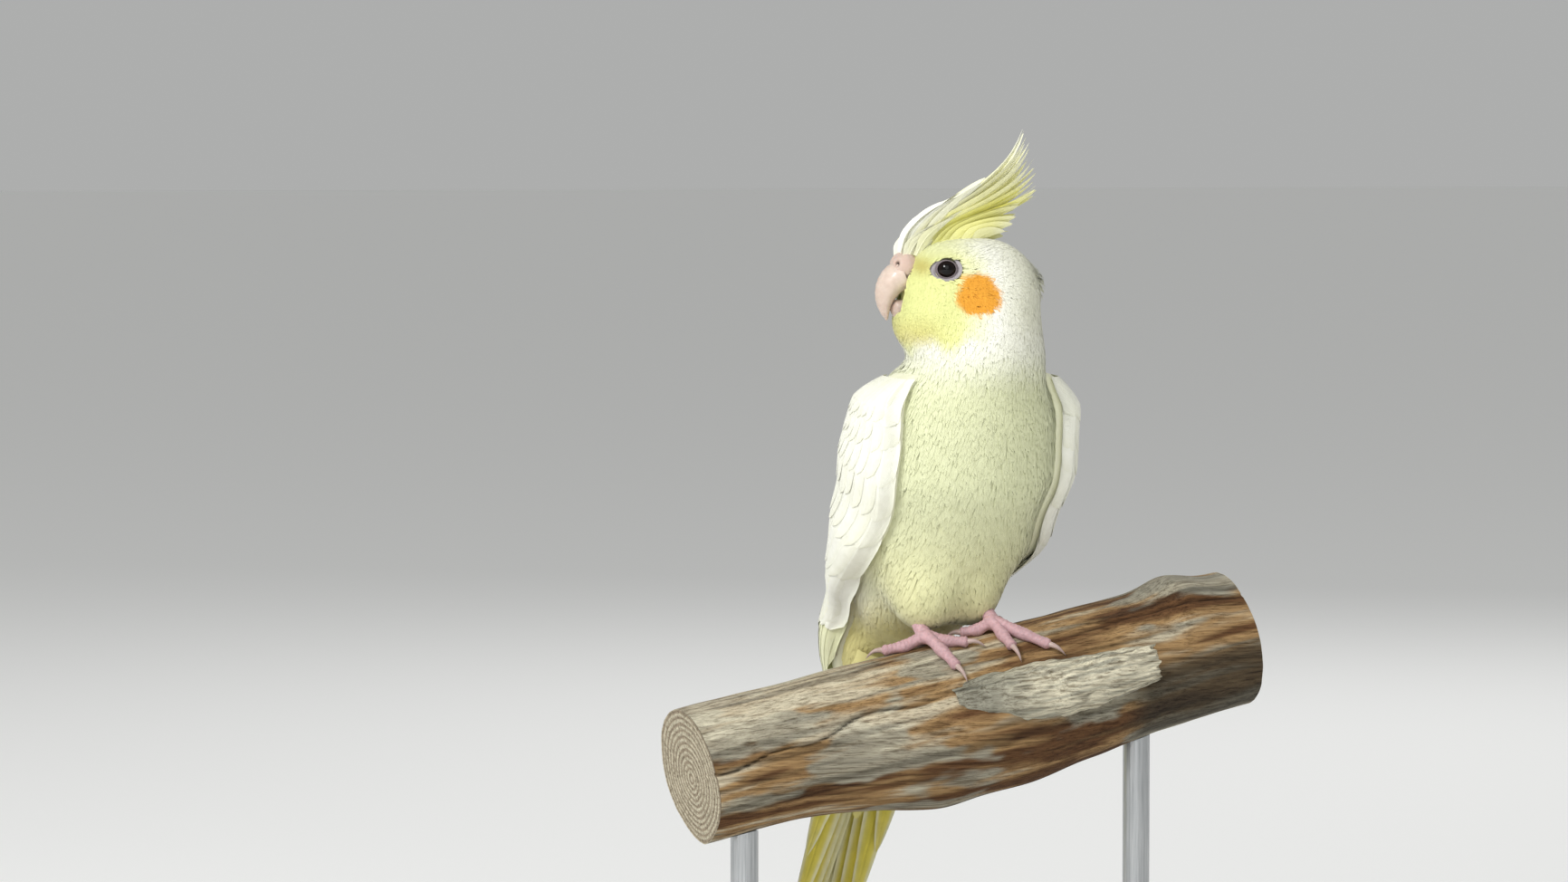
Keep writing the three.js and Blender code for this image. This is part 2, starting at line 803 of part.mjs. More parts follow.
function crestSolid() {
  const feathers = [crestCore()];
  for (const tier of Object.values(CREST)) {
    for (let i = 0; i < tier.count; i += 1) {
      const share = i / (tier.count - 1);
      const mix = (ends) => [0, 1].map((k) => lerp(ends[0][k], ends[1][k], share));
      const sway = (i % 3) - 1;
      const bend = {
        root: mix(tier.root),
        rise: mix(tier.rise),
        fall: mix(tier.fall),
        tip: mix(tier.tip),
      };
      const shaft = crestShaft(bend, [sway * 1.6, sway * 2.2]);
      feathers.push(crestFeather(shaft, tier.width));
    }
  }
  return union(feathers);
}

// The branch. Along it runs to the bird's left, and turns are from its top to its front.
const perchSlope = degToRad(PERCH.slope);
const perchAlong = point(Math.cos(perchSlope), 0, Math.sin(perchSlope));
const perchUp = point(-Math.sin(perchSlope), 0, Math.cos(perchSlope));
const perchCentre = point(0, 0, -PERCH.radius / Math.cos(perchSlope));

function perchPoint(along, turn, out) {
  return perchCentre
    .clone()
    .addScaledVector(perchAlong, along)
    .addScaledVector(perchUp, out * Math.cos(turn))
    .add(point(0, -out * Math.sin(turn), 0));
}

// The branch's radius: worn flutes, a swelling at the stub, a knot, a scab of bark below
// and an underside that narrows to the bird's right.
function perchRadius(along, turn) {
  const flutes = 0.35 * Math.sin(3 * turn + 0.02 * along) + 0.3 * Math.sin(5 * turn - 0.05 * along);
  const away = 1 - smoothstep(Math.cos(turn), 0.1, 0.8);
  const swelling = 5 * Math.exp(-(((along - 8) / 42) ** 2)) * away;
  const knot = 3 * Math.exp(-(((along - 73) / 8) ** 2)) * Math.max(0, Math.cos(turn - 0.3)) ** 2;
  const below = Math.max(0, -Math.cos(turn - 0.4)) ** 3;
  const scab = 2.6 * Math.exp(-(((along + 14) / 12) ** 2)) * below;
  const narrow = 2.2 * smoothstep(-along, 25, 60) * Math.max(0, -Math.cos(turn));
  return PERCH.radius + flutes * away + swelling + knot + scab - narrow;
}

function perchTrunk(extra = 0) {
  const rings = [];
  for (let r = 0; r < PERCH.rings; r += 1) {
    const along = lerp(PERCH.right - extra, PERCH.left + extra, r / (PERCH.rings - 1));
    const ring = [];
    for (let i = 0; i < PERCH.sides; i += 1) {
      const turn = (2 * Math.PI * i) / PERCH.sides;
      ring.push(perchPoint(along, turn, perchRadius(along, turn) + extra));
    }
    rings.push(ring);
  }
  return loft(rings);
}

// The broken stub of a side branch, low on the front.
function perchStub(extra = 0) {
  const rings = [];
  const count = 8;
  const turn = degToRad(STUB.angle);
  for (let r = 0; r < count; r += 1) {
    const share = r / (count - 1);
    const along = lerp(STUB.from - 12, STUB.to + extra, share);
    const radius = STUB.radius * (1 - 0.28 * share ** 3) + extra;
    const out = PERCH.radius - 4 + STUB.out * share ** 0.8;
    const ring = [];
    for (let i = 0; i < 12; i += 1) {
      const spin = (2 * Math.PI * i) / 12;
      const ragged = share === 1 ? 2.2 * Math.sin(3 * spin) : 0;
      const rough = 1 + 0.07 * Math.sin(2 * spin + 5 * share);
      const side = radius * rough * Math.cos(spin);
      ring.push(
        perchPoint(along + ragged, turn, out + 0.85 * radius * rough * Math.sin(spin)).add(
          perchUp.clone().multiplyScalar(side * Math.sin(turn)),
        ),
      );
    }
    rings.push(ring);
  }
  return loft(rings);
}

function perchSolid() {
  return union([perchTrunk(), perchStub()]);
}

// Feet. A toe runs over the branch from its root to its end, both given along the branch
// from its middle and as a turn in degrees from the top towards the front.
const TOE = { radius: 1.85, knuckle: 3.3, claw: 6.2, clawRadius: 0.95, sides: 8 };
const FEET = {
  right: {
    hub: [-7.3, 4.7],
    shank: [-7.5, -8, 9.5],
    toes: [
      { name: "outer_front", to: [-5.3, 47] },
      { name: "inner_front", to: [2.9, 23.5] },
      { name: "outer_back", to: [-19.9, -5.7] },
      { name: "inner_back", to: [-5, -30] },
    ],
  },
  left: {
    hub: [13.4, 10.5],
    shank: [15, -6, 7.5],
    toes: [
      { name: "outer_front", to: [24.7, 49] },
      { name: "inner_front", to: [13.8, 41.5] },
      { name: "outer_back", to: [21, -20] },
      { name: "inner_back", to: [4, 2.9] },
    ],
  },
};

// A point over the branch at a share of the way along a toe and a height over the bark.
function toePoint(foot, toe, share, height) {
  const along = lerp(foot.hub[0], toe.to[0], share);
  const turn = degToRad(lerp(foot.hub[1], toe.to[1], share));
  return perchPoint(along, turn, perchRadius(along, turn) + height);
}

// Rings square to a line of centres.
function tube(centres, radii, sides) {
  return centres.map((centre, i) => {
    const before = centres[Math.max(i - 1, 0)];
    const after = centres[Math.min(i + 1, centres.length - 1)];
    const tangent = after.clone().sub(before).normalize();
    const across = new THREE.Vector3().crossVectors(tangent, perchUp);
    if (across.length() < 0.2) across.crossVectors(tangent, point(0, 1, 0));
    across.normalize();
    const upward = new THREE.Vector3().crossVectors(across, tangent);
    return ellipse(centre, across.multiplyScalar(radii[i]), upward.multiplyScalar(radii[i]), sides);
  });
}

function toeSolid(foot, toe) {
  const centres = [];
  const radii = [];
  const count = 6;
  for (let r = 0; r < count; r += 1) {
    const share = r / (count - 1);
    const height = lerp(TOE.knuckle, TOE.radius * 0.86, smoothstep(share, 0, 0.55));
    const pads = 0.16 * Math.cos(share * 4 * Math.PI);
    centres.push(toePoint(foot, toe, share, height));
    radii.push(TOE.radius * (1.05 - 0.24 * share) + pads);
  }
  return loft(tube(centres, radii, TOE.sides));
}

// A claw carries its toe on, bows up and comes down to the bark.
function clawSolid(foot, toe) {
  const end = toePoint(foot, toe, 1, TOE.radius * 0.86);
  const before = toePoint(foot, toe, 0.9, TOE.radius * 0.86);
  const length = toePoint(foot, toe, 0, 0).distanceTo(toePoint(foot, toe, 1, 0));
  const step = end.clone().sub(before).normalize();
  const centres = [];
  const radii = [];
  const count = 4;
  for (let r = 0; r < count; r += 1) {
    const share = r / count;
    const beyond = 1 + (TOE.claw * share) / length;
    const height = lerp(TOE.radius * 0.95, 0.75, share ** 1.5) + 0.5 * Math.sin(Math.PI * share);
    centres.push(toePoint(foot, toe, beyond, height).addScaledVector(step, GAP * (1 - share)));
    radii.push(TOE.clawRadius * (1 - 0.62 * share));
  }
  const tip = toePoint(foot, toe, 1 + TOE.claw / length, 0.45);
  return loft([...tube(centres, radii, 6), [tip]]);
}

function footSolid(foot) {
  const hub = toePoint(foot, foot.toes[0], 0, TOE.knuckle);
  const [along, turn, height] = foot.shank;
  const angle = degToRad(turn);
  const knee = perchPoint(along, angle, perchRadius(along, angle) + height);
  const palm = new THREE.SphereGeometry(2.5, 12, 8).translate(hub.x, hub.y, hub.z);
  const above = knee.clone().sub(hub).multiplyScalar(1.7).add(hub);
  const shank = loft(tube([hub, knee, above], [2, 1.9, 2.1], 12));
  return union([solid(palm), shank, ...foot.toes.map((toe) => toeSolid(foot, toe))]);
}

// The stand: a base plate and two rods up to the branch.
function baseGeometry() {
  const { width, depth, thick, corner, bevel } = BASE;
  const [x, y] = [width / 2 - bevel - corner, depth / 2 - bevel - corner];
  const outline = new THREE.Shape();
  outline.absarc(x, y, corner, 0, Math.PI / 2);
  outline.absarc(-x, y, corner, Math.PI / 2, Math.PI);
  outline.absarc(-x, -y, corner, Math.PI, 1.5 * Math.PI);
  outline.absarc(x, -y, corner, 1.5 * Math.PI, 2 * Math.PI);
  outline.closePath();
  const plate = new THREE.ExtrudeGeometry(outline, {
    depth: thick - 2 * bevel,
    bevelSize: bevel,
    bevelThickness: bevel,
    bevelSegments: 1,
    curveSegments: 5,
  });
  return plate.translate(0, 0, bevel);
}

function rodSolid(along) {
  const foot = BASE.thick + GAP - PERCH_TOP;
  const top = perchCentre.z + along * Math.tan(perchSlope);
  const rod = new THREE.CylinderGeometry(ROD.radius, ROD.radius, top - foot, ROD.sides);
  rod.rotateX(Math.PI / 2).translate(along, 0, (top + foot) / 2);
  return solid(rod);
}

function material(name) {
  const [color, roughness] = COLOURS[name];
  return new THREE.MeshStandardMaterial({ color, roughness, metalness: name === "rod" ? 0.9 : 0 });
}

function geometryOf(made) {
  const { numProp, vertProperties, triVerts } = made.getMesh();
  const positions = new Float32Array((vertProperties.length / numProp) * 3);
  for (let i = 0; i < positions.length / 3; i += 1) {
    positions.set(vertProperties.subarray(i * numProp, i * numProp + 3), i * 3);
  }
  const geometry = new THREE.BufferGeometry();
  geometry.setAttribute("position", new THREE.BufferAttribute(positions, 3));
  geometry.setIndex(new THREE.BufferAttribute(triVerts, 1));
  return geometry;
}

// A node's mesh. Corners closer than MERGE become one, and only the largest closed body
// that is then left is kept, without the hollows that the overlapping pieces sealed in.
function nodeMesh(name, made, colour) {
  const welded = solid(geometryOf(largest(made)), MERGE);
  const mesh = new THREE.Mesh(geometryOf(largest(welded)), material(colour));
  mesh.name = name;
  return mesh;
}

// Each node is cut clear of the ones that it grows from.
function birdMeshes() {
  const meshes = [];
  const add = (name, made, colour) => meshes.push(nodeMesh(name, made, colour));

  const torsoClear = torsoSolid(GAP);
  const neckClear = neckSolid(GAP);
  const headClear = headSolid(GAP);
  const perchClear = union([perchTrunk(GAP), perchStub(1.5 * GAP)]);
  const cereClear = cereSolid(GAP);
  const upperClear = upperBillSolid(GAP);
  const eyes = [1, -1].map((side) => eyeSolid(side, GAP));

  const head = union([headSolid(), lidSolid(1), lidSolid(-1)]).subtract(union(eyes));
  add("torso", torsoSolid().subtract(perchClear), "plumage");
  add("neck", neckSolid(), "plumage");
  add("head", head.subtract(neckClear), "plumage");
  add("eye_left", eyeSolid(1), "eye");
  add("eye_right", eyeSolid(-1), "eye");
  add("cere", cereSolid().subtract(headClear).subtract(nostrils()), "cere");
  add("bill_upper", upperBillSolid().subtract(headClear).subtract(cereClear), "bill");
  add("bill_lower", lowerBillSolid().subtract(headClear).subtract(upperClear), "bill");
  add("crest", crestSolid().subtract(headClear).subtract(cereClear), "yellow");

  const tailEnd = spineFrame(spineShareAt(TAIL_CUT));
  const tail = tailSolid().trimByPlane(
    tailEnd.along.toArray(),
    tailEnd.along.dot(tailEnd.centre) + GAP,
  );
  add("tail", tail, "yellow");
  const bodyClear = union([torsoClear, neckClear, tailSolid(GAP)]);
  add("wing_left", wingSolid(-1).subtract(bodyClear), "plumage");
  add("wing_right", wingSolid(1).subtract(bodyClear), "plumage");

  for (const [side, foot] of Object.entries(FEET)) {
    add(`foot_${side}`, footSolid(foot).subtract(perchClear).subtract(torsoClear), "foot");
    for (const toe of foot.toes) {
      add(`claw_${side}_${toe.name}`, clawSolid(foot, toe).subtract(perchClear), "claw");
    }
  }
  add("perch", perchSolid(), "wood");
  add("stand_rod_left", rodSolid(ROD.left).subtract(perchClear), "rod");
  add("stand_rod_right", rodSolid(ROD.right).subtract(perchClear), "rod");
  return meshes;
}

const bird = new THREE.Group();
bird.position.set(BIRD_SHIFT.x, BIRD_SHIFT.y, PERCH_TOP);
bird.add(...birdMeshes());

const model = new THREE.Group();
model.add(bird, nodeMesh("stand_base", solid(baseGeometry()), "base"));

export default model;
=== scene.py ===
# The looks of a lutino cockatiel that stands on a cut length of branch with its head
# turned over its right shoulder. The shapes are laid out in millimetres from the top of
# the branch between the feet, with +Z up, the breast towards -Y and the bird's left side
# towards +X, and are moved into the model's frame as each piece is made.
import math

import bpy
import numpy as np
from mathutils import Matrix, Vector, noise


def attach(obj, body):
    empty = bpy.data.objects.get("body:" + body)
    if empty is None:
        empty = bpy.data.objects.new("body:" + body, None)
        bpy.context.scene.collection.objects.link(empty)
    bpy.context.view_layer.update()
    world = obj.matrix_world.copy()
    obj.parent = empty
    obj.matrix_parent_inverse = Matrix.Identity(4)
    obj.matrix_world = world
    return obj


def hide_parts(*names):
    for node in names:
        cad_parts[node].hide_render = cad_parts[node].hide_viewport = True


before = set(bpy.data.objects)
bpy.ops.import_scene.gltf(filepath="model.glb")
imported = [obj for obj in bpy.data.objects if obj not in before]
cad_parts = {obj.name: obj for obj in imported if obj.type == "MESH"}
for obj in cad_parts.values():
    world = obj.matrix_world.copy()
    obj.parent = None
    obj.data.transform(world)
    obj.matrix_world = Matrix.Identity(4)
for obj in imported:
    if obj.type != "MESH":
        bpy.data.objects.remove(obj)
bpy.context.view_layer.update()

MM = 0.001
FEET_AT = np.array([-4.0, -14.0, 156.0])
SEED = 7

# How far the skin lies under the solids' surface, and the coat's tips over it.
COAT_DEPTH = 1.2
COAT_LIFT = 0.25
# The side of a tuft's patch on the skin's unwrap, and the most triangles in a coat piece.
PATCH = 0.003
COAT_PIECE = 150000

# The same blobs as the solids: centre, radii, and lean back from the vertical in degrees.
BODY_BLOBS = [
    ((2.5, -8, 81), (17.5, 16.5, 14), 0),
    ((0, -3, 66), (26, 22.5, 19), 0),
    ((0, 2, 52), (29, 25, 24), 0),
    ((0, 12, 34), (27, 24, 26), 28),
    ((0, 25, 19), (21.5, 18.5, 25), 36),
    ((0, 46, 0), (16.5, 11, 26), 36),
    ((5.5, 5, 14), (8.5, 9.5, 10.5), 0),
    ((-9.5, 4, 13.5), (9.5, 10, 11), 0),
]
# The head's blobs are given forward, to its left and up from its own centre.
HEAD_BLOBS = [
    ((-1.6, 0, 1.8), (16.2, 14.6, 14.4)),
    ((9, 0, 3.6), (12.5, 11.6, 11.5)),
    ((8, 0, -4), (12, 13.4, 11)),
    ((12, 0, -8.4), (10.9, 10.5, 8)),
    ((-5, 0, -6), (12.6, 17, 17)),
    ((-1.5, 0, -17.5), (16.5, 18.5, 17)),
]
BLEND = 7.0
HEAD_AT = np.array([0.0, -9.5, 100.0])
HEAD_FACING = math.radians(-103)
HEAD_CUT = 87.5
TAIL_CUT = -10.0

# Stations of the spine: how far back, how high, and the section's lean in degrees.
SPINE = [
    (-9.5, 88, 0),
    (-9.5, 79, 2),
    (-5, 68, 10),
    (0, 56, 17),
    (6, 44, 25),
    (14, 31, 32),
    (25, 17, 36),
    (37, 3, 36),
    (50, -13, 32),
    (58, -28, 28),
    (82, -75, 27),
    (108, -126, 27),
]

# A folded wing: the wrist's share of the spine, then the angles round the body in degrees
# of its two edges and its thickness, at even steps from the wrist to the tip.
WING = {
    "from": 0.1,
    "lead": (78, 65, 60, 66, 80, 94, 97, 102, 111, 120),
    "trail": (112, 134, 150, 162, 168, 170, 170, 164, 154, 138),
    "thick": (7.4, 5.2, 4.6, 4.6, 5.6, 5.2, 4.0, 3.4, 2.8, 2.0),
    "length": 158.0,
}
TAIL = {
    "length": 158.0,
    "lean": math.radians(27),
    "turn": math.radians(3),
    "flesh": (-3, 46),
    "width": (13.8, 7.4),
    "depth": (9.2, 1.3),
    "pairs": 6,
    "covert_rows": 4,
}
# The tail's half sizes where the folded wings lie on it.
TAIL_REST = {"across": 13.0, "back": 5.2}
TAIL_ROOT = np.array([0.0, 45.5, -8.0])

EYE = {
    "forward": 10.6,
    "up": 7.8,
    "radius": 3.3,
    "sunk": 2.1,
    "ahead": math.radians(14),
    "opening": (2.65, 2.35),
    "bare": (4.5, 3.25),
    "ring": (5.1, 3.7),
    "pupil": (1.35, 1.6),
    "iris": (2.3, 2.5),
}
CHEEK = {"forward": 2.1, "up": 0.3, "radius": 6.2}
BILL = {"forward": 19.0, "up": 0.9, "radius": 9.7, "from": 66, "to": -52, "width": 5.3}
BILL_THICK = (8.4, 8.8, 8.8, 8.6, 8.2, 7.7, 7.0, 6.2, 4.6, 2.6, 0.4)
# The lower bill's two ends.
LOWER_BILL = {"forward": (14, 24.8), "up": (-3.6, -3.5), "width": (4.9, 3.0), "depth": (3.6, 2.9)}
# The cere's lobes and the nostrils: forward, out to each side and up.
CERE = (20.6, 2.1, 8.6)
CERE_RADII = (3.6, 3.4, 3.9)
CERE_BLEND = 1.6
NOSTRIL = (23.2, 3.7, 9.2)

PERCH = {"radius": 20.5, "slope": math.radians(11.2), "right": -86.0, "left": 90.0}
STUB = {"from": 2.0, "to": 50.0, "radius": 8.5, "angle": math.radians(82), "out": 11.0}

# The camera: how far round and above it stands, how far off, and the point it looks at,
# to the image's right of the feet and above them.
CAMERA = {"azimuth": -23.5, "elevation": 3.0, "distance": 1600.0, "right": -51.0, "up": 57.4}
PHOTO_WIDTH = 1732
FOCAL_PIXELS = 6080
SENSOR_WIDTH = 36.0

# The studio's lamps: name, place in metres, size in metres and power in watts.
LIGHTS = (
    ("key", (-1.4, -0.7, 1.35), 0.5, 25),
    ("fill", (-0.7, -1.5, 1.0), 1.4, 8),
    ("rim", (0.9, 1.2, 1.1), 0.8, 5),
)
LIGHTS_AIM = (0, 0, 0.18)
WORLD_COLOUR = (1.0, 1.01, 1.0, 1)
WORLD_STRENGTH = 0.42
FLOOR_COLOUR = (0.97, 0.97, 0.96, 1)
FLOOR_REACH = 40.0


def linear(hex_colour):
    """An sRGB colour as three linear numbers."""
    parts = [int(hex_colour[i : i + 2], 16) / 255 for i in (0, 2, 4)]
    return np.array([p / 12.92 if p <= 0.04045 else ((p + 0.055) / 1.055) ** 2.4 for p in parts])


WHITE = linear("f9f9ef")
CREAM = linear("f0f0d4")
# The breast's and belly's cream-yellow is darkened by painted shade.
BREAST_SHADED = linear("dce0b0")
BELLY_SHADED = linear("dcd8a2")
VENT = linear("dcd06c")
YELLOW = linear("e8ec88")
CREST_YELLOW = linear("f3ef68")
THROAT = linear("dacb74")
LORES = linear("c8b85f")
DEEP_YELLOW = linear("dfcb48")
ORANGE = linear("eaa335")
TAIL_YELLOW = linear("f1e45c")
BRANCH_TAN = linear("a98a61")
BRANCH_BROWN = linear("67492f")
BRANCH_GREY = linear("a6a597")
BRANCH_PALE = linear("dcd7c2")
BRANCH_DARK = linear("3b362d")
BILL_COLOUR = linear("dccabb")
BILL_TIP = linear("c9b4a6")
LOWER_BILL_COLOUR = BILL_TIP * 0.92
CERE_COLOUR = linear("cfb6a8")
NOSTRIL_COLOUR = linear("2e1c18")
PUPIL_COLOUR = linear("070505")
IRIS_COLOUR = linear("140805")
LID_COLOUR = linear("766b6e")
EYE_RING_COLOUR = linear("aba5a8")
FOOT_COLOUR = linear("c9a4a8")
CLAW_COLOUR = linear("c0a9a2")


def unit(vectors):
    length = np.linalg.norm(vectors, axis=-1, keepdims=True)
    return vectors / np.maximum(length, 1e-9)


def smoothstep(value, low, high):
    share = np.clip((value - low) / (high - low), 0, 1)
    return share * share * (3 - 2 * share)


def lerp(low, high, share):
    return low + (high - low) * share


def toward(colour, target, share):
    """A colour moved to another by a share for each point."""
    return lerp(colour, target, share[:, None])


def bell(offset, width):
    return np.exp(-((offset / width) ** 2))


def through(values):
    """A smooth function through evenly spaced values, by the same rule as the solids'."""
    known = np.array(values, float)

    def value_at(share):
        place = np.clip(np.asarray(share, float), 0, 1) * (len(known) - 1)
        low = np.minimum(place.astype(int), len(known) - 2)
        t = place - low
        before = known[np.maximum(low - 1, 0)]
        start = known[low]
        end = known[low + 1]
        after = known[np.minimum(low + 2, len(known) - 1)]
        pull_in = (end - before) / 2
        pull_out = (after - start) / 2
        cubic = (2 * start - 2 * end + pull_in + pull_out) * t**3
        square = (-3 * start + 3 * end - 2 * pull_in - pull_out) * t**2
        return cubic + square + pull_in * t + start

    return value_at


spine_back = through([row[0] for row in SPINE])
spine_up = through([row[1] for row in SPINE])
spine_lean = through([math.radians(row[2]) for row in SPINE])


def spine_frame(share):
    """Centre, front and tangent of the spine's section at each share of its length."""
    share = np.atleast_1d(np.asarray(share, float))
    lean = spine_lean(share)
    none = np.zeros_like(share)
    centre = np.stack([none, spine_back(share), spine_up(share)], 1)
    front = np.stack([none, -np.cos(lean), -np.sin(lean)], 1)
    along = np.stack([none, np.sin(lean), -np.cos(lean)], 1)
    return centre, front, along


SPINE_STEPS = 400
SPINE_SHARES = np.linspace(0, 1, SPINE_STEPS)
SPINE_CENTRES = spine_frame(SPINE_SHARES)[0]


def spine_share_at(height):
    return float(np.interp(-height, -SPINE_CENTRES[:, 2], SPINE_SHARES))


head_forward = np.array([math.sin(HEAD_FACING), -math.cos(HEAD_FACING), 0.0])
head_left = np.array([math.cos(HEAD_FACING), math.sin(HEAD_FACING), 0.0])
head_up = np.array([0.0, 0.0, 1.0])
HEAD_AXES = np.stack([head_forward, head_left, head_up])


def head_point(forward, left, up):
    """A point forward, to the left and up from the head's centre. Each may be an array."""
    parts = np.broadcast_arrays(forward, left, up)
    return HEAD_AT + np.stack(parts, -1).astype(float) @ HEAD_AXES


def head_place(points):
    """How far forward, left and up of the head's centre each point is."""
    return (points - HEAD_AT) @ HEAD_AXES.T


def blob_list():
    blobs = []
    for centre, radii, lean in BODY_BLOBS:
        tilt = math.radians(lean)
        axes = [
            (1, 0, 0),
            (0, math.cos(tilt), math.sin(tilt)),
            (0, -math.sin(tilt), math.cos(tilt)),
        ]
        blobs.append((np.array(centre, float), np.array(axes, float), np.array(radii, float)))
    for centre, radii in HEAD_BLOBS:
        blobs.append((head_point(*centre), HEAD_AXES, np.array(radii, float)))
    return blobs


BLOBS = blob_list()


def smooth_union(points, blobs, blend):
    """How far each point is outside the smooth union of some blobs."""
    found = np.full(len(points), np.inf)
    for centre, axes, radii in blobs:
        share = ((points - centre) @ axes.T) / radii
        near = np.sqrt((share**2).sum(1))
        steep = np.sqrt(((share / radii) ** 2).sum(1))
        this = near * (near - 1) / np.maximum(steep, 1e-9)
        overlap = np.maximum(blend - np.abs(found - this), 0)
        found = np.minimum(found, this) - overlap**2 / (4 * blend)
    return found


# The step in millimetres to each side by which a normal is found, and how rays come in
# from outside: the share of the gap for one step, and the number of steps.
NORMAL_STEP = 0.25
CAST_STEP = 0.75
CAST_ROUNDS = 70


def body_distance(points):
    return smooth_union(points, BLOBS, BLEND)


def body_normal(points):
    parts = []
    for step in np.eye(3) * NORMAL_STEP:
        parts.append(body_distance(points + step) - body_distance(points - step))
    return unit(np.stack(parts, 1))


def seat(points, height, rounds):
    """Moves points along the body's normal until they are at a height above it."""
    moved = points.copy()
    for _ in range(rounds):
        gap = body_distance(moved) - height
        moved -= body_normal(moved) * gap[:, None]
    return moved


def cast(origins, directions, height=0.0, distance=body_distance, reach=70.0):
    """Where rays from inside a form leave it, at a height above its surface."""
    far = np.full(len(origins), float(reach))
    for _ in range(CAST_ROUNDS):
        gap = distance(origins + directions * far[:, None]) - height
        far = np.maximum(far - CAST_STEP * np.maximum(gap, 0), 0)
    return origins + directions * far[:, None]


def section_direction(front, angle):
    """A direction in a section, turned from the front towards the bird's right side."""
    across = np.stack([-np.sin(angle), np.zeros_like(angle), np.zeros_like(angle)], 1)
    return front * np.cos(angle)[:, None] + across


# Meshes.


def grid_faces(rows, columns, closed=False):
    """Quads of a grid of points, wrapped round its columns where it is closed."""
    across = columns if closed else columns - 1
    r, c = np.meshgrid(np.arange(rows - 1), np.arange(across), indexing="ij")
    a = r * columns + c
    b = r * columns + (c + 1) % columns
    return np.stack([a, b, b + columns, a + columns], -1).reshape(-1, 4)


def share_and_turn(shares, columns):
    """Every share of a form's length with every turn round it, as two flat arrays."""
    turns = np.linspace(0, 2 * np.pi, columns, endpoint=False)
    share, turn = np.meshgrid(shares, turns, indexing="ij")
    return share.ravel(), turn.ravel()


def patch(across, along):
    """A tuft's patch on the unwrap, for places from -1 to 1 across it and 0 to 1 along."""
    return np.stack([across * PATCH / 2, (along - 0.5) * PATCH], -1)


def add_piece(
    name,
    points,
    faces,
    material,
    replaces=(),
    uvs=None,
    tint=None,
    barbs=None,
    normals=None,
):
    """Makes one mesh object of quads and triangles from points in bird millimetres."""
    mesh = bpy.data.meshes.new(name)
    mesh.vertices.add(len(points))
    placed = (np.asarray(points, float) + FEET_AT) * MM
    mesh.vertices.foreach_set("co", placed.astype(np.float32).ravel())
    blocks = faces if isinstance(faces, list) else [faces]
    blocks = [np.asarray(block) for block in blocks if len(block)]
    corners = np.concatenate([block.ravel() for block in blocks])
    totals = np.concatenate([np.full(len(block), block.shape[1]) for block in blocks])
    starts = np.concatenate([[0], np.cumsum(totals)[:-1]])
    mesh.loops.add(len(corners))
    mesh.loops.foreach_set("vertex_index", corners.astype(np.int32))
    mesh.polygons.add(len(totals))
    mesh.polygons.foreach_set("loop_start", starts.astype(np.int32))
    mesh.polygons.foreach_set("loop_total", totals.astype(np.int32))
    mesh.polygons.foreach_set("use_smooth", np.ones(len(totals), bool))
    mesh.update(calc_edges=True)
    for layer_name, values in (("OFBake", uvs), ("Barbs", barbs)):
        if values is not None:
            layer = mesh.uv_layers.new(name=layer_name)
            layer.data.foreach_set("uv", values[corners].astype(np.float32).ravel())
    if tint is not None:
        attribute = mesh.attributes.new("tint", "FLOAT_COLOR", "POINT")
        colour = np.ones((len(points), 4), np.float32)
        colour[:, :3] = tint
        attribute.data.foreach_set("color", colour.ravel())
    if normals is not None:
        mesh.normals_split_custom_set_from_vertices(normals.astype(np.float32))
    mesh.materials.append(material)
    piece = bpy.data.objects.new(name, mesh)
    bpy.context.scene.collection.objects.link(piece)
    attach(piece, "root")
    if replaces:
        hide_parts(*replaces)


class Pile:
    """Gathers small meshes into one, with their UV maps and tints."""

    def __init__(self):
        self.points = []
        self.faces = []
        self.uvs = []
        self.barbs = []
        self.tints = []
        self.count = 0

    def add(self, points, faces, tint, cell=None, barbs=None):
        amount = len(points)
        flat = np.zeros((amount, 2))
        self.points.append(points)
        self.faces.append(np.asarray(faces) + self.count)
        self.tints.append(np.broadcast_to(tint, (amount, 3)))
        self.uvs.append(0.5 + (flat if cell is None else cell))
        self.barbs.append(flat if barbs is None else barbs)
        self.count += amount

    def add_rings(self, points, rows, columns, tint):
        """Adds rings of points, joined into a tube or a ball."""
        self.add(points, grid_faces(rows, columns, closed=True), tint)

    def add_cap(self, ring, tint):
        """Closes a ring of points with triangles round its middle."""
        sides = len(ring)
        around = np.arange(sides)
        fan = np.stack([np.full(sides, sides), around, (around + 1) % sides], 1)
        self.add(np.concatenate([ring, [ring.mean(0)]]), fan, tint)

    def piece(self, name, material, slot, replaces=()):
        quads = [block for block in self.faces if block.shape[1] == 4]
        triangles = [block for block in self.faces if block.shape[1] == 3]
        faces = [np.concatenate(kind) for kind in (quads, triangles) if kind]
        add_piece(
            name,
            np.concatenate(self.points),
            faces,
            material,
            replaces,
            np.concatenate(self.uvs),
            np.concatenate(self.tints),
            np.concatenate(self.barbs),
        )


# Materials.


def new_material(name, roughness, specular=0.5, sheen=0.0, coat=0.0, metallic=0.0):
    material = bpy.data.materials.new(name)
    material.use_nodes = True
    shader = material.node_tree.nodes["Principled BSDF"]
    shader.inputs["Roughness"].default_value = roughness
    shader.inputs["Specular IOR Level"].default_value = specular
    shader.inputs["Sheen Weight"].default_value = sheen
    shader.inputs["Sheen Roughness"].default_value = 0.5
    shader.inputs["Coat Weight"].default_value = coat
    shader.inputs["Coat Roughness"].default_value = 0.05
    shader.inputs["Metallic"].default_value = metallic
    return material, material.node_tree, shader


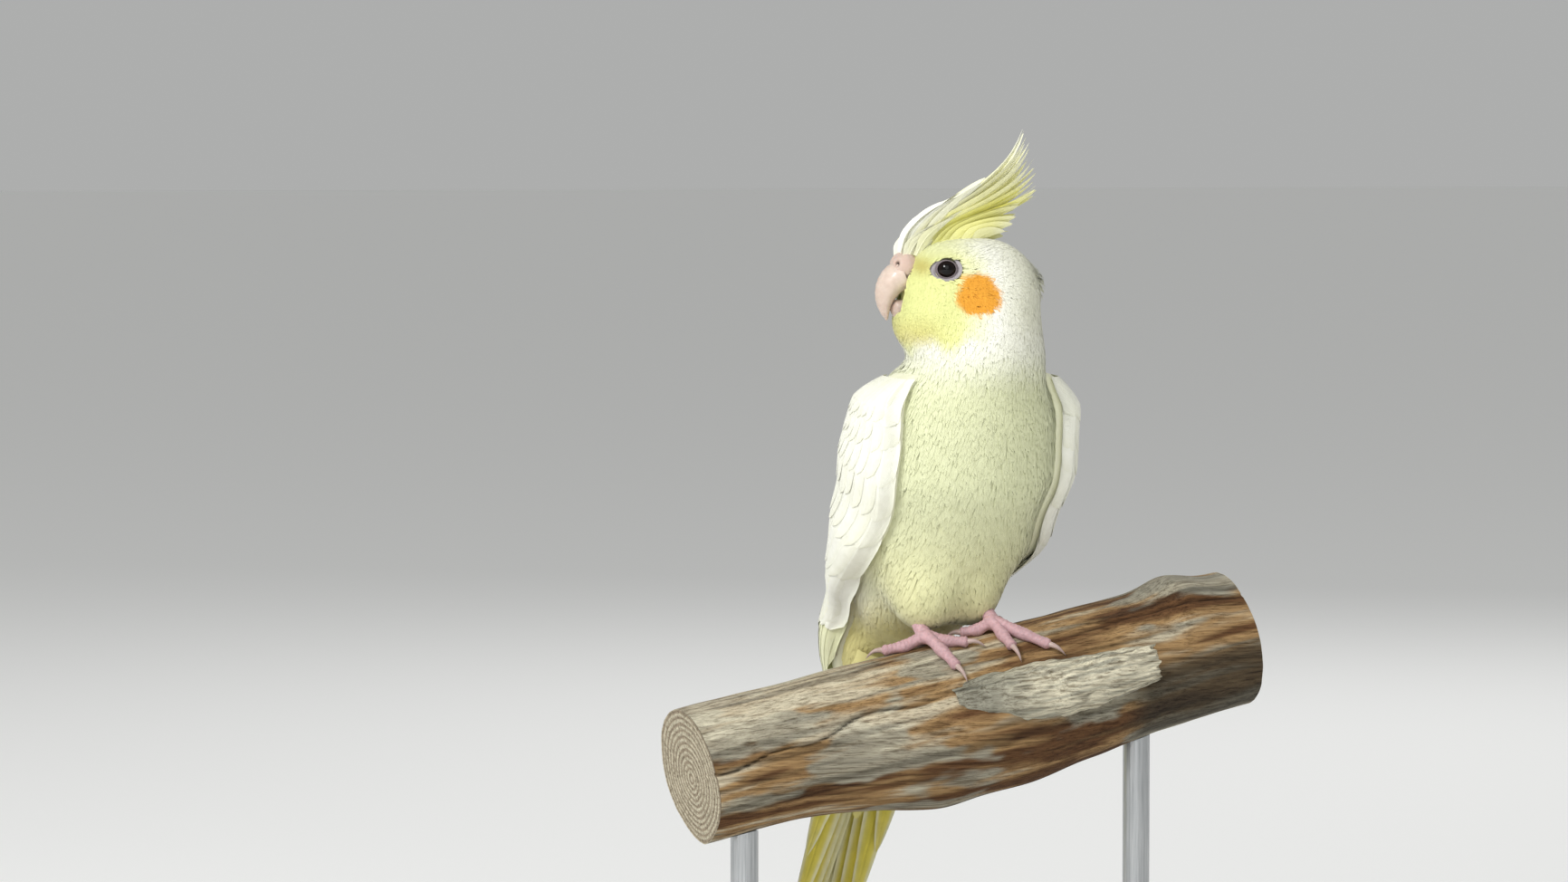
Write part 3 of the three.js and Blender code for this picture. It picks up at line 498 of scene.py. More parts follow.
def node(tree, kind, inputs=None, **settings):
    made = tree.nodes.new(kind)
    for key, value in settings.items():
        setattr(made, key, value)
    for key, value in (inputs or {}).items():
        if isinstance(value, bpy.types.NodeSocket):
            tree.links.new(value, made.inputs[key])
        else:
            made.inputs[key].default_value = value
    return made


def position(tree, stretch=(1, 1, 1), turn=(0, 0, 0)):
    """The place of a point in the model's frame, in millimetres, stretched per axis."""
    place = node(tree, "ShaderNodeTexCoord").outputs["Object"]
    scale = tuple(s / MM for s in stretch)
    mapping = node(tree, "ShaderNodeMapping", {"Vector": place, "Rotation": turn, "Scale": scale})
    return mapping.outputs["Vector"]


def noise_node(tree, vector, scale, detail=3.0, rough=0.55):
    settings = {"Vector": vector, "Scale": scale, "Detail": detail, "Roughness": rough}
    return node(tree, "ShaderNodeTexNoise", settings)


def ramp(tree, factor, stops):
    made = node(tree, "ShaderNodeValToRGB", {"Fac": factor})
    elements = made.color_ramp.elements
    while len(elements) < len(stops):
        elements.new(0.5)
    for element, (place, colour) in zip(elements, stops):
        element.position = place
        element.color = (*colour, 1)
    return made.outputs["Color"]


def multiply(tree, first, second):
    mix = node(tree, "ShaderNodeMix", data_type="RGBA", blend_type="MULTIPLY")
    mix.inputs["Factor"].default_value = 1.0
    tree.links.new(first, mix.inputs["A"])
    tree.links.new(second, mix.inputs["B"])
    return mix.outputs["Result"]


def bump(tree, shader, height, strength, distance):
    settings = {"Height": height, "Strength": strength, "Distance": distance * MM}
    made = node(tree, "ShaderNodeBump", settings)
    tree.links.new(made.outputs["Normal"], shader.inputs["Normal"])


def maths(tree, operation, *values):
    made = node(tree, "ShaderNodeMath", operation=operation)
    for place, value in enumerate(values):
        if isinstance(value, bpy.types.NodeSocket):
            tree.links.new(value, made.inputs[place])
        else:
            made.inputs[place].default_value = value
    return made.outputs[0]


def tinted_material(name, roughness, specular, mottle=None, flesh=None, **finish):
    """A material in its vertices' tint. The mottle over it is a noise's scale and detail,
    with a dark and a light shade, and the flesh is a weight and a radius in millimetres."""
    material, tree, shader = new_material(name, roughness, specular, **finish)
    colour = node(tree, "ShaderNodeAttribute", attribute_name="tint").outputs["Color"]
    if mottle:
        scale, detail, dark, light = mottle
        fleck = noise_node(tree, position(tree), scale, detail).outputs["Fac"]
        colour = multiply(tree, colour, ramp(tree, fleck, [(0.3, dark), (0.7, light)]))
    tree.links.new(colour, shader.inputs["Base Color"])
    if flesh:
        weight, radius = flesh
        shader.inputs["Subsurface Weight"].default_value = weight
        shader.inputs["Subsurface Radius"].default_value = [part * MM for part in radius]
    return material, tree, shader


def noise_bump(tree, shader, scale, detail, strength, depth, stretch=(1, 1, 1)):
    height = noise_node(tree, position(tree, stretch), scale, detail).outputs["Fac"]
    bump(tree, shader, height, strength, depth)


BARB_SLOPE = 1.1
BARBS = 14


def plumage(name, roughness, barb_bump):
    """Feathers: their vertices' tint, mottled a little, with fine slanting barbs."""
    mottle = (0.35, 4.0, (0.93, 0.93, 0.91), (1, 1, 1))
    material, tree, shader = tinted_material(name, roughness, 0.25, mottle, sheen=0.25)
    barbs = node(tree, "ShaderNodeUVMap", uv_map="Barbs").outputs["UV"]
    split = node(tree, "ShaderNodeSeparateXYZ", {"Vector": barbs})
    slope = maths(tree, "MULTIPLY", maths(tree, "ABSOLUTE", split.outputs["X"]), BARB_SLOPE)
    down = maths(tree, "SUBTRACT", split.outputs["Y"], slope)
    stripe = maths(tree, "SINE", maths(tree, "MULTIPLY", down, BARBS))
    bump(tree, shader, stripe, barb_bump, 0.06)
    return material


coat_material = plumage("coat", 0.8, 0.25)
vane_material = plumage("vanes", 0.62, 0.4)


def skin_material():
    """The skin under the coat, in the coat's own colours and painted shade, with the bumps of down."""
    mottle = (1.2, 4.0, (0.9, 0.9, 0.88), (1, 1, 1))
    material, tree, shader = tinted_material("skin", 0.85, 0.2, mottle)
    noise_bump(tree, shader, 1.2, 4.0, 0.5, 0.3)
    return material


# Markings and painted shade. The coat's colour at each place on the body.


def markings_and_shade(points):
    """The plumage's colour at points on the body, with painted shade on the breast and belly."""
    forward, left, up = head_place(points).T
    height = points[:, 2]
    colour = np.tile(WHITE, (len(points), 1))

    def paint(share, target):
        nonlocal colour
        colour = toward(colour, target, np.clip(share, 0, 1))

    # Breast, belly and vent, from the front. The breast's and belly's colours carry painted shade.
    front = smoothstep(-points[:, 1], -34, -4)
    paint(0.85 * front * (1 - smoothstep(height, 70, 90)), BREAST_SHADED)
    paint(0.7 * front * (1 - smoothstep(height, 6, 42)), BELLY_SHADED)
    vent = (1 - smoothstep(height, -2, 16)) * (1 - smoothstep(-points[:, 1], -24, -4))
    paint(0.8 * vent, VENT)
    # Face with an uneven edge, throat, lores and brow.
    wobble = 1.6 * np.sin(left * 0.55) + 1.2 * np.sin(forward * 0.7 + 1)
    face = smoothstep(forward + 0.4 * wobble, -4, 9) * smoothstep(up + wobble, -16.5, -10)
    paint(0.8 * face * (1 - 0.75 * smoothstep(up, 9, 15)), YELLOW)
    throat = smoothstep(-up, 3, 12) * smoothstep(forward, 8, 18) * smoothstep(up, -16, -12)
    paint(0.55 * throat, THROAT)
    paint(0.75 * np.exp(-((forward - 17) ** 2) / 7 - (up - 8.5) ** 2 / 7), LORES)
    brow = smoothstep(up, 8, 14) * smoothstep(forward, -2, 12) * (1 - smoothstep(forward, 18, 21))
    paint(0.4 * brow, YELLOW)
    # Nape, and the cheek's round patch with its ragged rim.
    behind = (1 - smoothstep(forward, -14, 2)) * smoothstep(up, -22, -4)
    paint(0.6 * behind, CREAM)
    ahead = forward - CHEEK["forward"]
    ragged = 0.35 * np.sin(3 * np.arctan2(up, ahead)) + 0.25 * np.sin(forward * 2.1)
    reach = np.hypot(ahead, (up - CHEEK["up"]) * 1.02) + ragged
    paint(1 - smoothstep(reach, CHEEK["radius"] - 1.1, CHEEK["radius"] + 0.8), ORANGE)
    return colour


# Where a folded wing lies on the body. The spine's length in millimetres for one share of
# it counts above the wrist. The ramp is the share of the wing's thickness by which the
# coat rises beside it, and the skin rises by a share of that.

SPINE_PER_SHARE = 99.0
WING_RAMP = 0.1
SKIN_SHARE = 0.85

wing_lead = through(np.radians(WING["lead"]))
wing_trail = through(np.radians(WING["trail"]))
wing_thick = through(WING["thick"])


def wing_shares():
    """Shares of the spine for lengths down it from the wrist."""
    share = np.linspace(WING["from"], 1, SPINE_STEPS)
    centre = spine_frame(share)[0]
    steps = np.linalg.norm(np.diff(centre, axis=0), axis=1)
    return share, np.concatenate([[0], np.cumsum(steps)])


WING_SHARES, WING_LENGTHS = wing_shares()


def wing_section(side, along, across):
    """Centre, outward way and reach of what the folded wing lies on."""
    share = np.interp(WING["length"] * along, WING_LENGTHS, WING_SHARES)
    centre, front, _ = spine_frame(share)
    angle = lerp(wing_lead(along), wing_trail(along), across)
    way = section_direction(front, side * angle)
    skin = np.linalg.norm(cast(centre, way) - centre, axis=1)
    sine = np.abs(way[:, 0]) / TAIL_REST["across"]
    cosine = np.sqrt(np.maximum(1 - way[:, 0] ** 2, 0)) / TAIL_REST["back"]
    tail = 1 / np.hypot(sine, cosine)
    overlap = np.maximum(BLEND - np.abs(skin - tail), 0)
    return centre, way, np.maximum(skin, tail) + overlap**2 / (4 * BLEND)


def wing_height(along, across):
    """How thick the folded wing is over the body: full in front and thin at the back."""
    front = np.sqrt(1 - (1 - np.clip(across / 0.16, 0.04, 1)) ** 2)
    back = np.sqrt(1 - np.clip((across - 0.75) / 0.25, 0, 0.97) ** 2)
    start = np.sqrt(np.clip(along / 0.06, 0, 1))
    return wing_thick(along) * front * back * start * (1.3 - 0.55 * across)


def wing_place(points):
    """Shares along and across the folded wing on whose side each point of the body lies."""
    gaps = (points[:, None, 1:] - SPINE_CENTRES[None, ::4, 1:]) ** 2
    share = SPINE_SHARES[::4][gaps.sum(2).argmin(1)]
    centre, front, _ = spine_frame(share)
    offset = points - centre
    angle = np.arctan2(np.abs(offset[:, 0]), (offset * front).sum(1))
    above = np.maximum(WING["from"] - share, 0) * SPINE_PER_SHARE
    along = (np.interp(share, WING_SHARES, WING_LENGTHS) - above) / WING["length"]
    lead = wing_lead(along)
    return along, (angle - lead) / (wing_trail(along) - lead)


def drape(points):
    """How far the coat rises where it runs up to a folded wing."""
    along, across = wing_place(points)
    inside = smoothstep(across, -0.22, 0.02) * smoothstep(1.22 - across, -0.02, 0.22)
    height = wing_height(np.clip(along, 0, 1), np.clip(across, 0.1, 0.9))
    near = smoothstep(along, -0.06, 0.05) * (1 - smoothstep(along, 0.42, 0.7))
    return WING_RAMP * inside * near * height


# The skin: one surface from the root of the tail to the crown.

HEAD_PIVOT = head_point(1, 0, 1)


def skin_point(row, turn, height):
    """A point of the body for a row from 0, the tail's root, to 1, the crown."""
    row = np.asarray(row, float)
    turn = np.asarray(turn, float)
    neck_row = 0.66
    head_row = 0.75
    share = lerp(spine_share_at(TAIL_CUT), spine_share_at(HEAD_CUT), np.clip(row / neck_row, 0, 1))
    centre, front, _ = spine_frame(share)
    body_way = section_direction(front, turn)
    rise = np.clip((row - neck_row) / (head_row - neck_row), 0, 1)
    dome = np.clip((row - head_row) / (1 - head_row), 0, 1) * (np.pi / 2)
    low = np.array([HEAD_PIVOT[0], HEAD_PIVOT[1], HEAD_CUT])
    above = low + (HEAD_PIVOT - low) * rise[:, None]
    mix = smoothstep(row, neck_row - 0.05, neck_row + 0.02)[:, None]
    origin = np.where(row[:, None] > neck_row, above, centre)
    level_way = section_direction(np.tile([0.0, -1.0, 0.0], (len(row), 1)), turn)
    way = unit(body_way * (1 - mix) + level_way * mix)
    way = way * np.cos(dome)[:, None] + head_up * np.sin(dome)[:, None]
    return cast(origin, way, height)


SKIN_ROWS = 150
SKIN_COLUMNS = 120
LAST_ROW = 0.997


def skin_grid(height):
    """The body's surface at one height or at a height for each point, as a grid of points."""
    row, turn = share_and_turn(np.linspace(0, LAST_ROW, SKIN_ROWS), SKIN_COLUMNS)
    height = np.broadcast_to(height, row.size)
    return skin_point(row, turn, height).reshape(SKIN_ROWS, SKIN_COLUMNS, 3)


def make_skin():
    """The skin lies inside the solids by the depth of the coat, but rises to the wings."""
    raised = SKIN_SHARE * drape(skin_grid(0.0).reshape(-1, 3))
    ring_grid = skin_grid(raised - COAT_DEPTH)
    tail_end = ring_grid[0].mean(0)
    crown = ring_grid[-1].mean(0)
    points = np.concatenate([ring_grid.reshape(-1, 3), [tail_end, crown]])
    faces = grid_faces(SKIN_ROWS, SKIN_COLUMNS, closed=True)
    last = (SKIN_ROWS - 1) * SKIN_COLUMNS
    around = np.arange(SKIN_COLUMNS)
    after = (around + 1) % SKIN_COLUMNS
    hub = np.full(SKIN_COLUMNS, SKIN_ROWS * SKIN_COLUMNS)
    tail_cap = np.stack([hub, after, around], 1)
    crown_cap = np.stack([hub + 1, last + around, last + after], 1)
    index = np.arange(SKIN_ROWS * SKIN_COLUMNS)
    uvs = np.stack([(index % SKIN_COLUMNS) / SKIN_COLUMNS, (index // SKIN_COLUMNS) / SKIN_ROWS], 1)
    uvs = np.concatenate([uvs, [[0.5, 0.0], [0.5, 1.0]]])
    tint = markings_and_shade(points)
    add_piece(
        "skin",
        points,
        [faces, np.concatenate([tail_cap, crown_cap])],
        skin_material(),
        ["head", "neck", "torso"],
        uvs,
        tint,
    )


# The coat of small feathers.


def lie(points):
    """The way that the feathers point at places on the body, along its surface."""
    forward, _, up = head_place(points).T
    back = np.clip((up + 12) / 20, 0, 1) * smoothstep(forward, -20, -4)
    head_way = -head_forward * back[:, None] + np.array([0, 0, -1.0]) * (1.15 - back)[:, None]
    coarse = SPINE_CENTRES[::8]
    nearest = ((points[:, None] - coarse[None]) ** 2).sum(2).argmin(1)
    _, _, along = spine_frame(SPINE_SHARES[::8][nearest])
    share = smoothstep(points[:, 2], 74, 92)[:, None]
    way = along * (1 - share) + head_way * share
    normal = body_normal(points)
    way = way - normal * (way * normal).sum(1, keepdims=True)
    return unit(way), normal


def feather_length(points):
    """Length of the coat's feathers at places on the body."""
    forward, _, up = head_place(points).T
    height = points[:, 2]
    on_head = smoothstep(height, 78, 94)
    face = smoothstep(forward, 2, 20)
    head_size = lerp(4.6, 2.1, face) * lerp(1, 0.9, smoothstep(up, 4, 14))
    body_size = lerp(10.5, 7.5, smoothstep(height, 30, 84))
    return lerp(body_size, head_size, on_head)


def eye_frame(side):
    """Centre of an eyeball and its axis. The side is 1 for the left eye, -1 for the right."""
    axis = side * math.cos(EYE["ahead"]) * head_left + math.sin(EYE["ahead"]) * head_forward
    origin = head_point(EYE["forward"], 0, EYE["up"])
    skin = cast(origin[None], side * head_left[None])[0]
    return skin - axis * EYE["sunk"], axis


EYES = {side: eye_frame(side) for side in (1, -1)}


def bare(points, margin=0.0):
    """True where no feather grows: round the eyes, on the cere and in the gape."""
    hidden = np.zeros(len(points), bool)
    for centre, axis in EYES.values():
        level = unit(head_forward - axis * (head_forward @ axis))
        offset = points - centre
        ahead = offset @ level / (EYE["bare"][0] + margin)
        above = offset @ head_up / (EYE["bare"][1] + margin)
        facing = offset @ axis > 0
        hidden |= (ahead**2 + above**2 < 1) & facing
    forward, left, up = head_place(points).T
    cere = ((forward - 21.5) / 4.2) ** 2 + (left / 5.6) ** 2 + ((up - 7.6) / 4.6) ** 2 < 1
    bill = (forward > 18.8) & (np.abs(left) < 4.6) & (up > -4.5) & (up < 10)
    return hidden | cere | bill


def body_cells():
    """Area and feather length of each cell of the skin's grid."""
    surface = skin_grid(0.0)
    a = surface[:-1]
    b = surface[1:]
    edge_up = b - a
    edge_on = np.roll(a, -1, axis=1) - a
    area = np.linalg.norm(np.cross(edge_up, edge_on), axis=2).ravel()
    return area, feather_length(((a + b) / 2).reshape(-1, 3))


def random_roots(rng, weight, amount):
    """Places on the body at random, by the weight of each cell of the skin's grid."""
    cell = rng.choice(len(weight), amount, p=weight / weight.sum())
    row = (cell // SKIN_COLUMNS + rng.random(amount)) / (SKIN_ROWS - 1) * LAST_ROW
    turn = (cell % SKIN_COLUMNS + rng.random(amount)) / SKIN_COLUMNS
    points = skin_point(row, turn * 2 * np.pi, 0.0)
    return points, np.stack([turn, row], 1)


def apart(points, spacing):
    """The places that are left when none may be closer to an earlier one than its spacing."""
    kept = []
    buckets = {}
    size = 1.8
    keys = np.floor(points / size).astype(int)
    for i in range(len(points)):
        key = tuple(keys[i])
        reach = int(math.ceil(spacing[i] / size))
        near = []
        for dx in range(-reach, reach + 1):
            for dy in range(-reach, reach + 1):
                for dz in range(-reach, reach + 1):
                    near += buckets.get((key[0] + dx, key[1] + dy, key[2] + dz), ())
        if near:
            gaps = points[near] - points[i]
            if ((gaps**2).sum(1) < spacing[i] ** 2).any():
                continue
        buckets.setdefault(key, []).append(i)
        kept.append(i)
    return np.array(kept)


def feather_shape(rng, amount):
    """Shares along and across a contour feather for each of its points, frayed at the tip."""
    along = np.array([0.0, 0.4, 0.75, 1.0])
    across = np.linspace(-1, 1, 7)
    width = np.array([0.4, 0.95, 1.0, 0.7])
    s = np.broadcast_to(along[:, None], (4, 7))
    c = np.broadcast_to(across[None], (4, 7))
    rounded = 1 - 0.3 * np.abs(across) ** 2.2
    fray = rng.uniform(-0.1, 0.1, (amount, 1, 7))
    fray[:, 0, ::2] += 0.09
    down = s[None] * rounded[None, None] + fray * (s[None] ** 3)
    over = c[None] * width[None, :, None] * np.ones((amount, 1, 1))
    return down.reshape(amount, -1), over.reshape(amount, -1)


def barb_shape(rng, amount):
    """The same for a slim clump of barbs, which tapers to its tip and bends a little."""
    along = np.array([0.0, 0.3, 0.6, 0.85, 1.0])
    width = np.array([0.5, 1.0, 0.9, 0.55, 0.06])
    s = np.repeat(along, 3)
    c = np.tile([-1.0, 0.0, 1.0], 5)
    bend = rng.normal(0, 0.6, (amount, 1))
    over = c[None] * np.repeat(width, 3)[None] + bend * s[None] ** 2
    down = np.tile(s, (amount, 1)) - 0.05 * np.abs(c)[None] * s[None]
    return down, over


# The two layers of the coat: whole contour feathers, and clumps of their loose barbs over
# them. Each has its points along and across, and its sizes as shares of feather_length.
# Sunk is the root's depth as a share of the coat's. In millimetres, lift is the tips' rise,
# loose how much that varies and curl how far the edges droop. Ways swerve in radians.
COAT_LAYERS = (
    {
        "name": "coat_feathers",
        "shape": feather_shape,
        "grid": (4, 7),
        "tries": 60000,
        "spacing": 0.3,
        "length": 1.0,
        "half": 0.3,
        "sunk": 0.6,
        "lift": 0.0,
        "loose": 0.05,
        "curl": 0.12,
        "swerve": 0.06,
    },
    {
        "name": "coat_barbs",
        "shape": barb_shape,
        "grid": (5, 3),
        "tries": 42000,
        "spacing": 0.0,
        "length": 0.62,
        "half": 0.062,
        "sunk": 0.1,
        "lift": 0.1,
        "loose": 0.03,
        "curl": 0.0,
        "swerve": 0.1,
    },
)


NAPE_RISE = 2.2


def nape_tuft(points):
    """How loose the feathers are at the back of the head."""
    forward, left, up = head_place(points).T
    return np.exp(-((forward + 17) ** 2) / 16 - (up - 7) ** 2 / 10 - left**2 / 40)


def grow(rng, layer, weight):
    """Roots, ways, normals, lengths and places on the unwrap for one layer of the coat."""
    roots, root_uv = random_roots(rng, weight, layer["tries"])
    length = feather_length(roots)
    if layer["spacing"]:
        kept = apart(roots, layer["spacing"] * length)
        roots, root_uv, length = roots[kept], root_uv[kept], length[kept]
    length = length * layer["length"] * rng.uniform(0.85, 1.15, len(roots))
    way, normal = lie(roots)
    along, across = wing_place(roots)
    under_wing = (along > 0.03) & (across > 0.02) & (across < 0.98)
    keep = ~(bare(roots) | bare(roots + way * length[:, None], 0.1) | under_wing)
    return roots[keep], way[keep], normal[keep], length[keep], root_uv[keep]


def make_coat_layer(rng, layer, weight):
    """Lays every tuft of a layer on its root, following the body's surface."""
    roots, way, normal, length, root_uv = grow(rng, layer, weight)
    amount = len(roots)
    rows, columns = layer["grid"]
    corners = rows * columns
    side = np.cross(normal, way)
    way = unit(way + side * rng.normal(0, layer["swerve"], amount)[:, None])
    side = np.cross(normal, way)
    down, over = layer["shape"](rng, amount)
    half = layer["half"] * length / layer["length"]
    flat = (
        roots[:, None]
        + way[:, None] * (down * length[:, None])[:, :, None]
        + side[:, None] * (over * half[:, None])[:, :, None]
    ).reshape(-1, 3)
    size = np.clip(feather_length(roots) / 7, 0.35, 1)[:, None]
    reach = np.clip(down, 0, 1)
    tip = COAT_LIFT + layer["lift"] + rng.uniform(-1, 1, (amount, 1)) * layer["loose"]
    rise = lerp(-layer["sunk"] * COAT_DEPTH, tip, reach**0.8) * (0.4 + 0.6 * size)
    rise = rise - layer["curl"] * np.minimum(over**2, 1) * size
    rise = rise + NAPE_RISE * nape_tuft(roots)[:, None] * reach**2
    tips = roots + way * length[:, None]
    rise = rise + lerp(drape(roots)[:, None], drape(tips)[:, None], reach)
    points = seat(flat, rise.ravel(), 2)
    normals = body_normal(points)
    shade = rng.uniform(0.965, 1.03, (amount, 1))
    tint = np.clip(markings_and_shade(roots + way * (0.7 * length)[:, None]) * shade, 0, 1)
    tint = np.repeat(tint, corners, axis=0)
    uvs = (root_uv[:, None] + patch(np.clip(over, -1, 1), down)).reshape(-1, 2)
    barbs = np.stack([over * half[:, None], down * length[:, None]], 2).reshape(-1, 2)
    one = grid_faces(rows, columns)[:, ::-1]
    order = np.argsort(-roots[:, 2])
    groups = np.array_split(order, max(2, math.ceil(amount * len(one) * 2 / COAT_PIECE)))
    for place, group in enumerate(groups):
        pick = (group[:, None] * corners + np.arange(corners)).ravel()
        faces = one[None] + (np.arange(len(group)) * corners)[:, None, None]
        add_piece(
            f"{layer['name']}_{place + 1}",
            points[pick],
            faces.reshape(-1, 4),
            coat_material,
            (),
            uvs[pick],
            tint[pick],
            barbs[pick],
            normals[pick],
        )


def make_coat():
    rng = np.random.default_rng(SEED + 1)
    area, length = body_cells()
    for layer in COAT_LAYERS:
        make_coat_layer(rng, layer, area / length**2)


# Large feathers.


VANE_ACROSS = np.array([-1, -0.8, -0.55, -0.28, -0.07, 0, 0.07, 0.28, 0.55, 0.8, 1.0])
SPLIT_SHARE = 0.05
SPLIT_DEPTH = 0.06
SHAFT_RIDGE = np.where(np.abs(VANE_ACROSS) < 0.01, 1.0, 0.0)


def vane_width(share, blunt, base=0.55):
    """Half the width of a large feather along its length, as a share of its widest."""
    swell = base + (1 - base) * smoothstep(share, 0, 0.35)
    return swell * np.maximum(1 - share ** (2 + 6 * blunt), 0) ** 0.6


def lay_vane(pile, place, rows, width, blunt, tint, rng, shaft=0.22, base=0.55):
    """Adds one vane. place gives its points for shares along it, millimetres across it and
    the height of the shaft's ridge. The tint is one colour, or a function of both shares."""
    share = np.linspace(0, 0.995, rows)
    s, c = np.meshgrid(share, VANE_ACROSS, indexing="ij")
    half = width * vane_width(share, blunt, base)[:, None]
    splits = rng.random((rows, len(VANE_ACROSS))) < SPLIT_SHARE
    trim = 1 - SPLIT_DEPTH * splits * np.abs(c) ** 2 * smoothstep(s, 0.3, 0.6)
    across = c * half * trim
    ridge = SHAFT_RIDGE[None] * shaft * (1 - 0.75 * s)
    s = s.ravel()
    c = c.ravel()
    across = across.ravel()
    points = place(s, across, ridge.ravel())
    long = np.linalg.norm(points[-1] - points[0])
    barbs = np.stack([across, s * long], 1)
    colour = tint(s, c) if callable(tint) else tint
    pile.add(points, grid_faces(rows, len(VANE_ACROSS)), colour, patch(c, s), barbs)


# Wings.

VANE_CUP = 0.25


def wing_vane(pile, side, root, tip, width, lift, rise, tilt, blunt, tint, rng, rows):
    """A wing feather from root to tip, each a pair of shares along and across the wing. It
    lies lift above it, and rise more at its tip, with one edge lower by its tilt."""

    def place(s, x, ridge):
        along = lerp(root[0], tip[0], s)
        across = lerp(root[1], tip[1], s)
        _, _, reach = wing_section(side, along, np.clip(across, 0, 1))
        reach = reach + wing_height(along, np.clip(across, 0, 1))
        span = wing_trail(along) - wing_lead(along)
        turned = across + x / (reach * span)
        share = x / width
        height = lift + rise * s - tilt * share - VANE_CUP * share**2 + ridge
        centre, way, floor = wing_section(side, along, turned)
        body = wing_height(along, np.clip(turned, 0, 1))
        return centre + way * (floor + body + height)[:, None]

    lay_vane(pile, place, rows, width, blunt, tint, rng)


def wing_tint(rng, rim=0.0, yellow=0.0):
    """White, a little creamier along the lower edge of each feather."""
    base = lerp(WHITE, CREAM, rng.uniform(0.05, 0.35)) * rng.uniform(0.98, 1.02)
    base = lerp(base, YELLOW, yellow)

    def colour(s, c):
        edge = smoothstep(-c, 0.3, 1.0) * 0.3 + rim * smoothstep(s, 0.5, 1.0)
        return toward(base, CREAM * 0.95, edge)

    return colour


def wing_core(pile, side):
    """The flesh of the folded wing, hidden by its feathers and closed down to the body."""
    rows = 44
    columns = 22
    along = np.repeat(0.86 * np.linspace(0, 1, rows) ** 1.35, columns)
    steps = np.concatenate([[0], np.linspace(0, 1, columns - 2), [1]])
    across = np.tile(steps, rows)
    place = np.tile(np.arange(columns), rows)
    centre, way, floor = wing_section(side, along, across)
    fade = 1 - 0.45 * smoothstep(along, 0.3, 0.86)
    height = wing_height(along, across) * fade - 0.7
    height = np.where((place == 0) | (place == columns - 1), -2.5, height)
    points = centre + way * (floor + height)[:, None]
    pile.add(points, grid_faces(rows, columns), CREAM)


# Rows of the wing's feathers. Root and tip are shares of the wing's length, and the slant
# lets the row run further down it at the back. Width is half a feather's.
WING_TIERS = [
    {"count": 11, "root": 0.38, "tip": 0.635, "slant": 0.1, "width": 5.0, "lift": 0.8, "blunt": 0.55},
    {"count": 11, "root": 0.26, "tip": 0.46, "slant": 0.06, "width": 4.4, "lift": 0.9, "blunt": 0.75},
    {"count": 11, "root": 0.2, "tip": 0.335, "slant": 0.03, "width": 3.8, "lift": 0.95, "blunt": 0.85},
    {"count": 12, "root": 0.13, "tip": 0.25, "slant": 0.015, "width": 3.4, "lift": 0.95, "blunt": 0.9},
    {"count": 12, "root": 0.085, "tip": 0.185, "slant": 0.0, "width": 3.1, "lift": 0.9, "blunt": 0.9},
    {"count": 12, "root": 0.045, "tip": 0.135, "slant": 0.0, "width": 2.9, "lift": 0.85, "blunt": 0.95},
    {"count": 12, "root": 0.01, "tip": 0.09, "slant": 0.0, "width": 2.7, "lift": 0.8, "blunt": 0.95},
]


PRIMARIES = {
    "count": 8,
    "root": ((0.5, 0.08), (0.5, 0.5)),
    "tip": ((0.72, 0.12), (1.0, 0.5)),
    "width": (4.2, 5.0),
    "lift": 0.3,
    "yellow": 0.5,
}


def add_primaries(pile, side, rng):
    """The longest feathers, whose tips pass the others towards the tail."""
    for i in range(PRIMARIES["count"]):
        share = i / (PRIMARIES["count"] - 1)
        wing_vane(
            pile,
            side,
            [lerp(low, high, share) for low, high in zip(*PRIMARIES["root"])],
            [lerp(low, high, share) for low, high in zip(*PRIMARIES["tip"])],
            lerp(*PRIMARIES["width"], share),
            PRIMARIES["lift"] + 0.16 * i,
            0.1,
            0.25,
            0.2,
            wing_tint(rng, yellow=PRIMARIES["yellow"]),
            rng,
            16,
        )


def add_wing_tier(pile, side, rng, tier):
    """One row of overlapping feathers, from the leading edge to the back."""
    for i in range(tier["count"]):
        across = (i + 0.5) / tier["count"]
        bow = tier["slant"] * (across - 0.35)
        jitter = rng.normal(0, 0.006)
        wing_vane(
            pile,
            side,
            (tier["root"] + bow * 0.4, lerp(0.02, 0.96, across)),
            (tier["tip"] + bow + jitter, lerp(0.01, 0.97, across) + rng.normal(0, 0.006)),
            tier["width"] * rng.uniform(0.94, 1.06),
            tier["lift"] + 0.06 * i,
            0.5,
            0.22,
            tier["blunt"],
            wing_tint(rng, 0.2),
            rng,
            12,
        )


def make_wing(name, side, seed):
    rng = np.random.default_rng(seed)
    pile = Pile()
    wing_core(pile, side)
    add_primaries(pile, side, rng)
    for tier in WING_TIERS:
        add_wing_tier(pile, side, rng, tier)
    pile.piece(f"{name}_vanes", vane_material, "wing_feathers", [name])


# Tail.

tail_along = np.array(
    [
        -math.sin(TAIL["turn"]),
        math.sin(TAIL["lean"]) * math.cos(TAIL["turn"]),
        -math.cos(TAIL["lean"]) * math.cos(TAIL["turn"]),
    ]
)
tail_back = np.array([0, math.cos(TAIL["lean"]), math.sin(TAIL["lean"])])


def tail_point(across, along, back):
    across, along, back = np.broadcast_arrays(across, along, back)
    side = np.stack([across, np.zeros_like(across), np.zeros_like(across)], -1).astype(float)
    return TAIL_ROOT + side + along[..., None] * tail_along + back[..., None] * tail_back


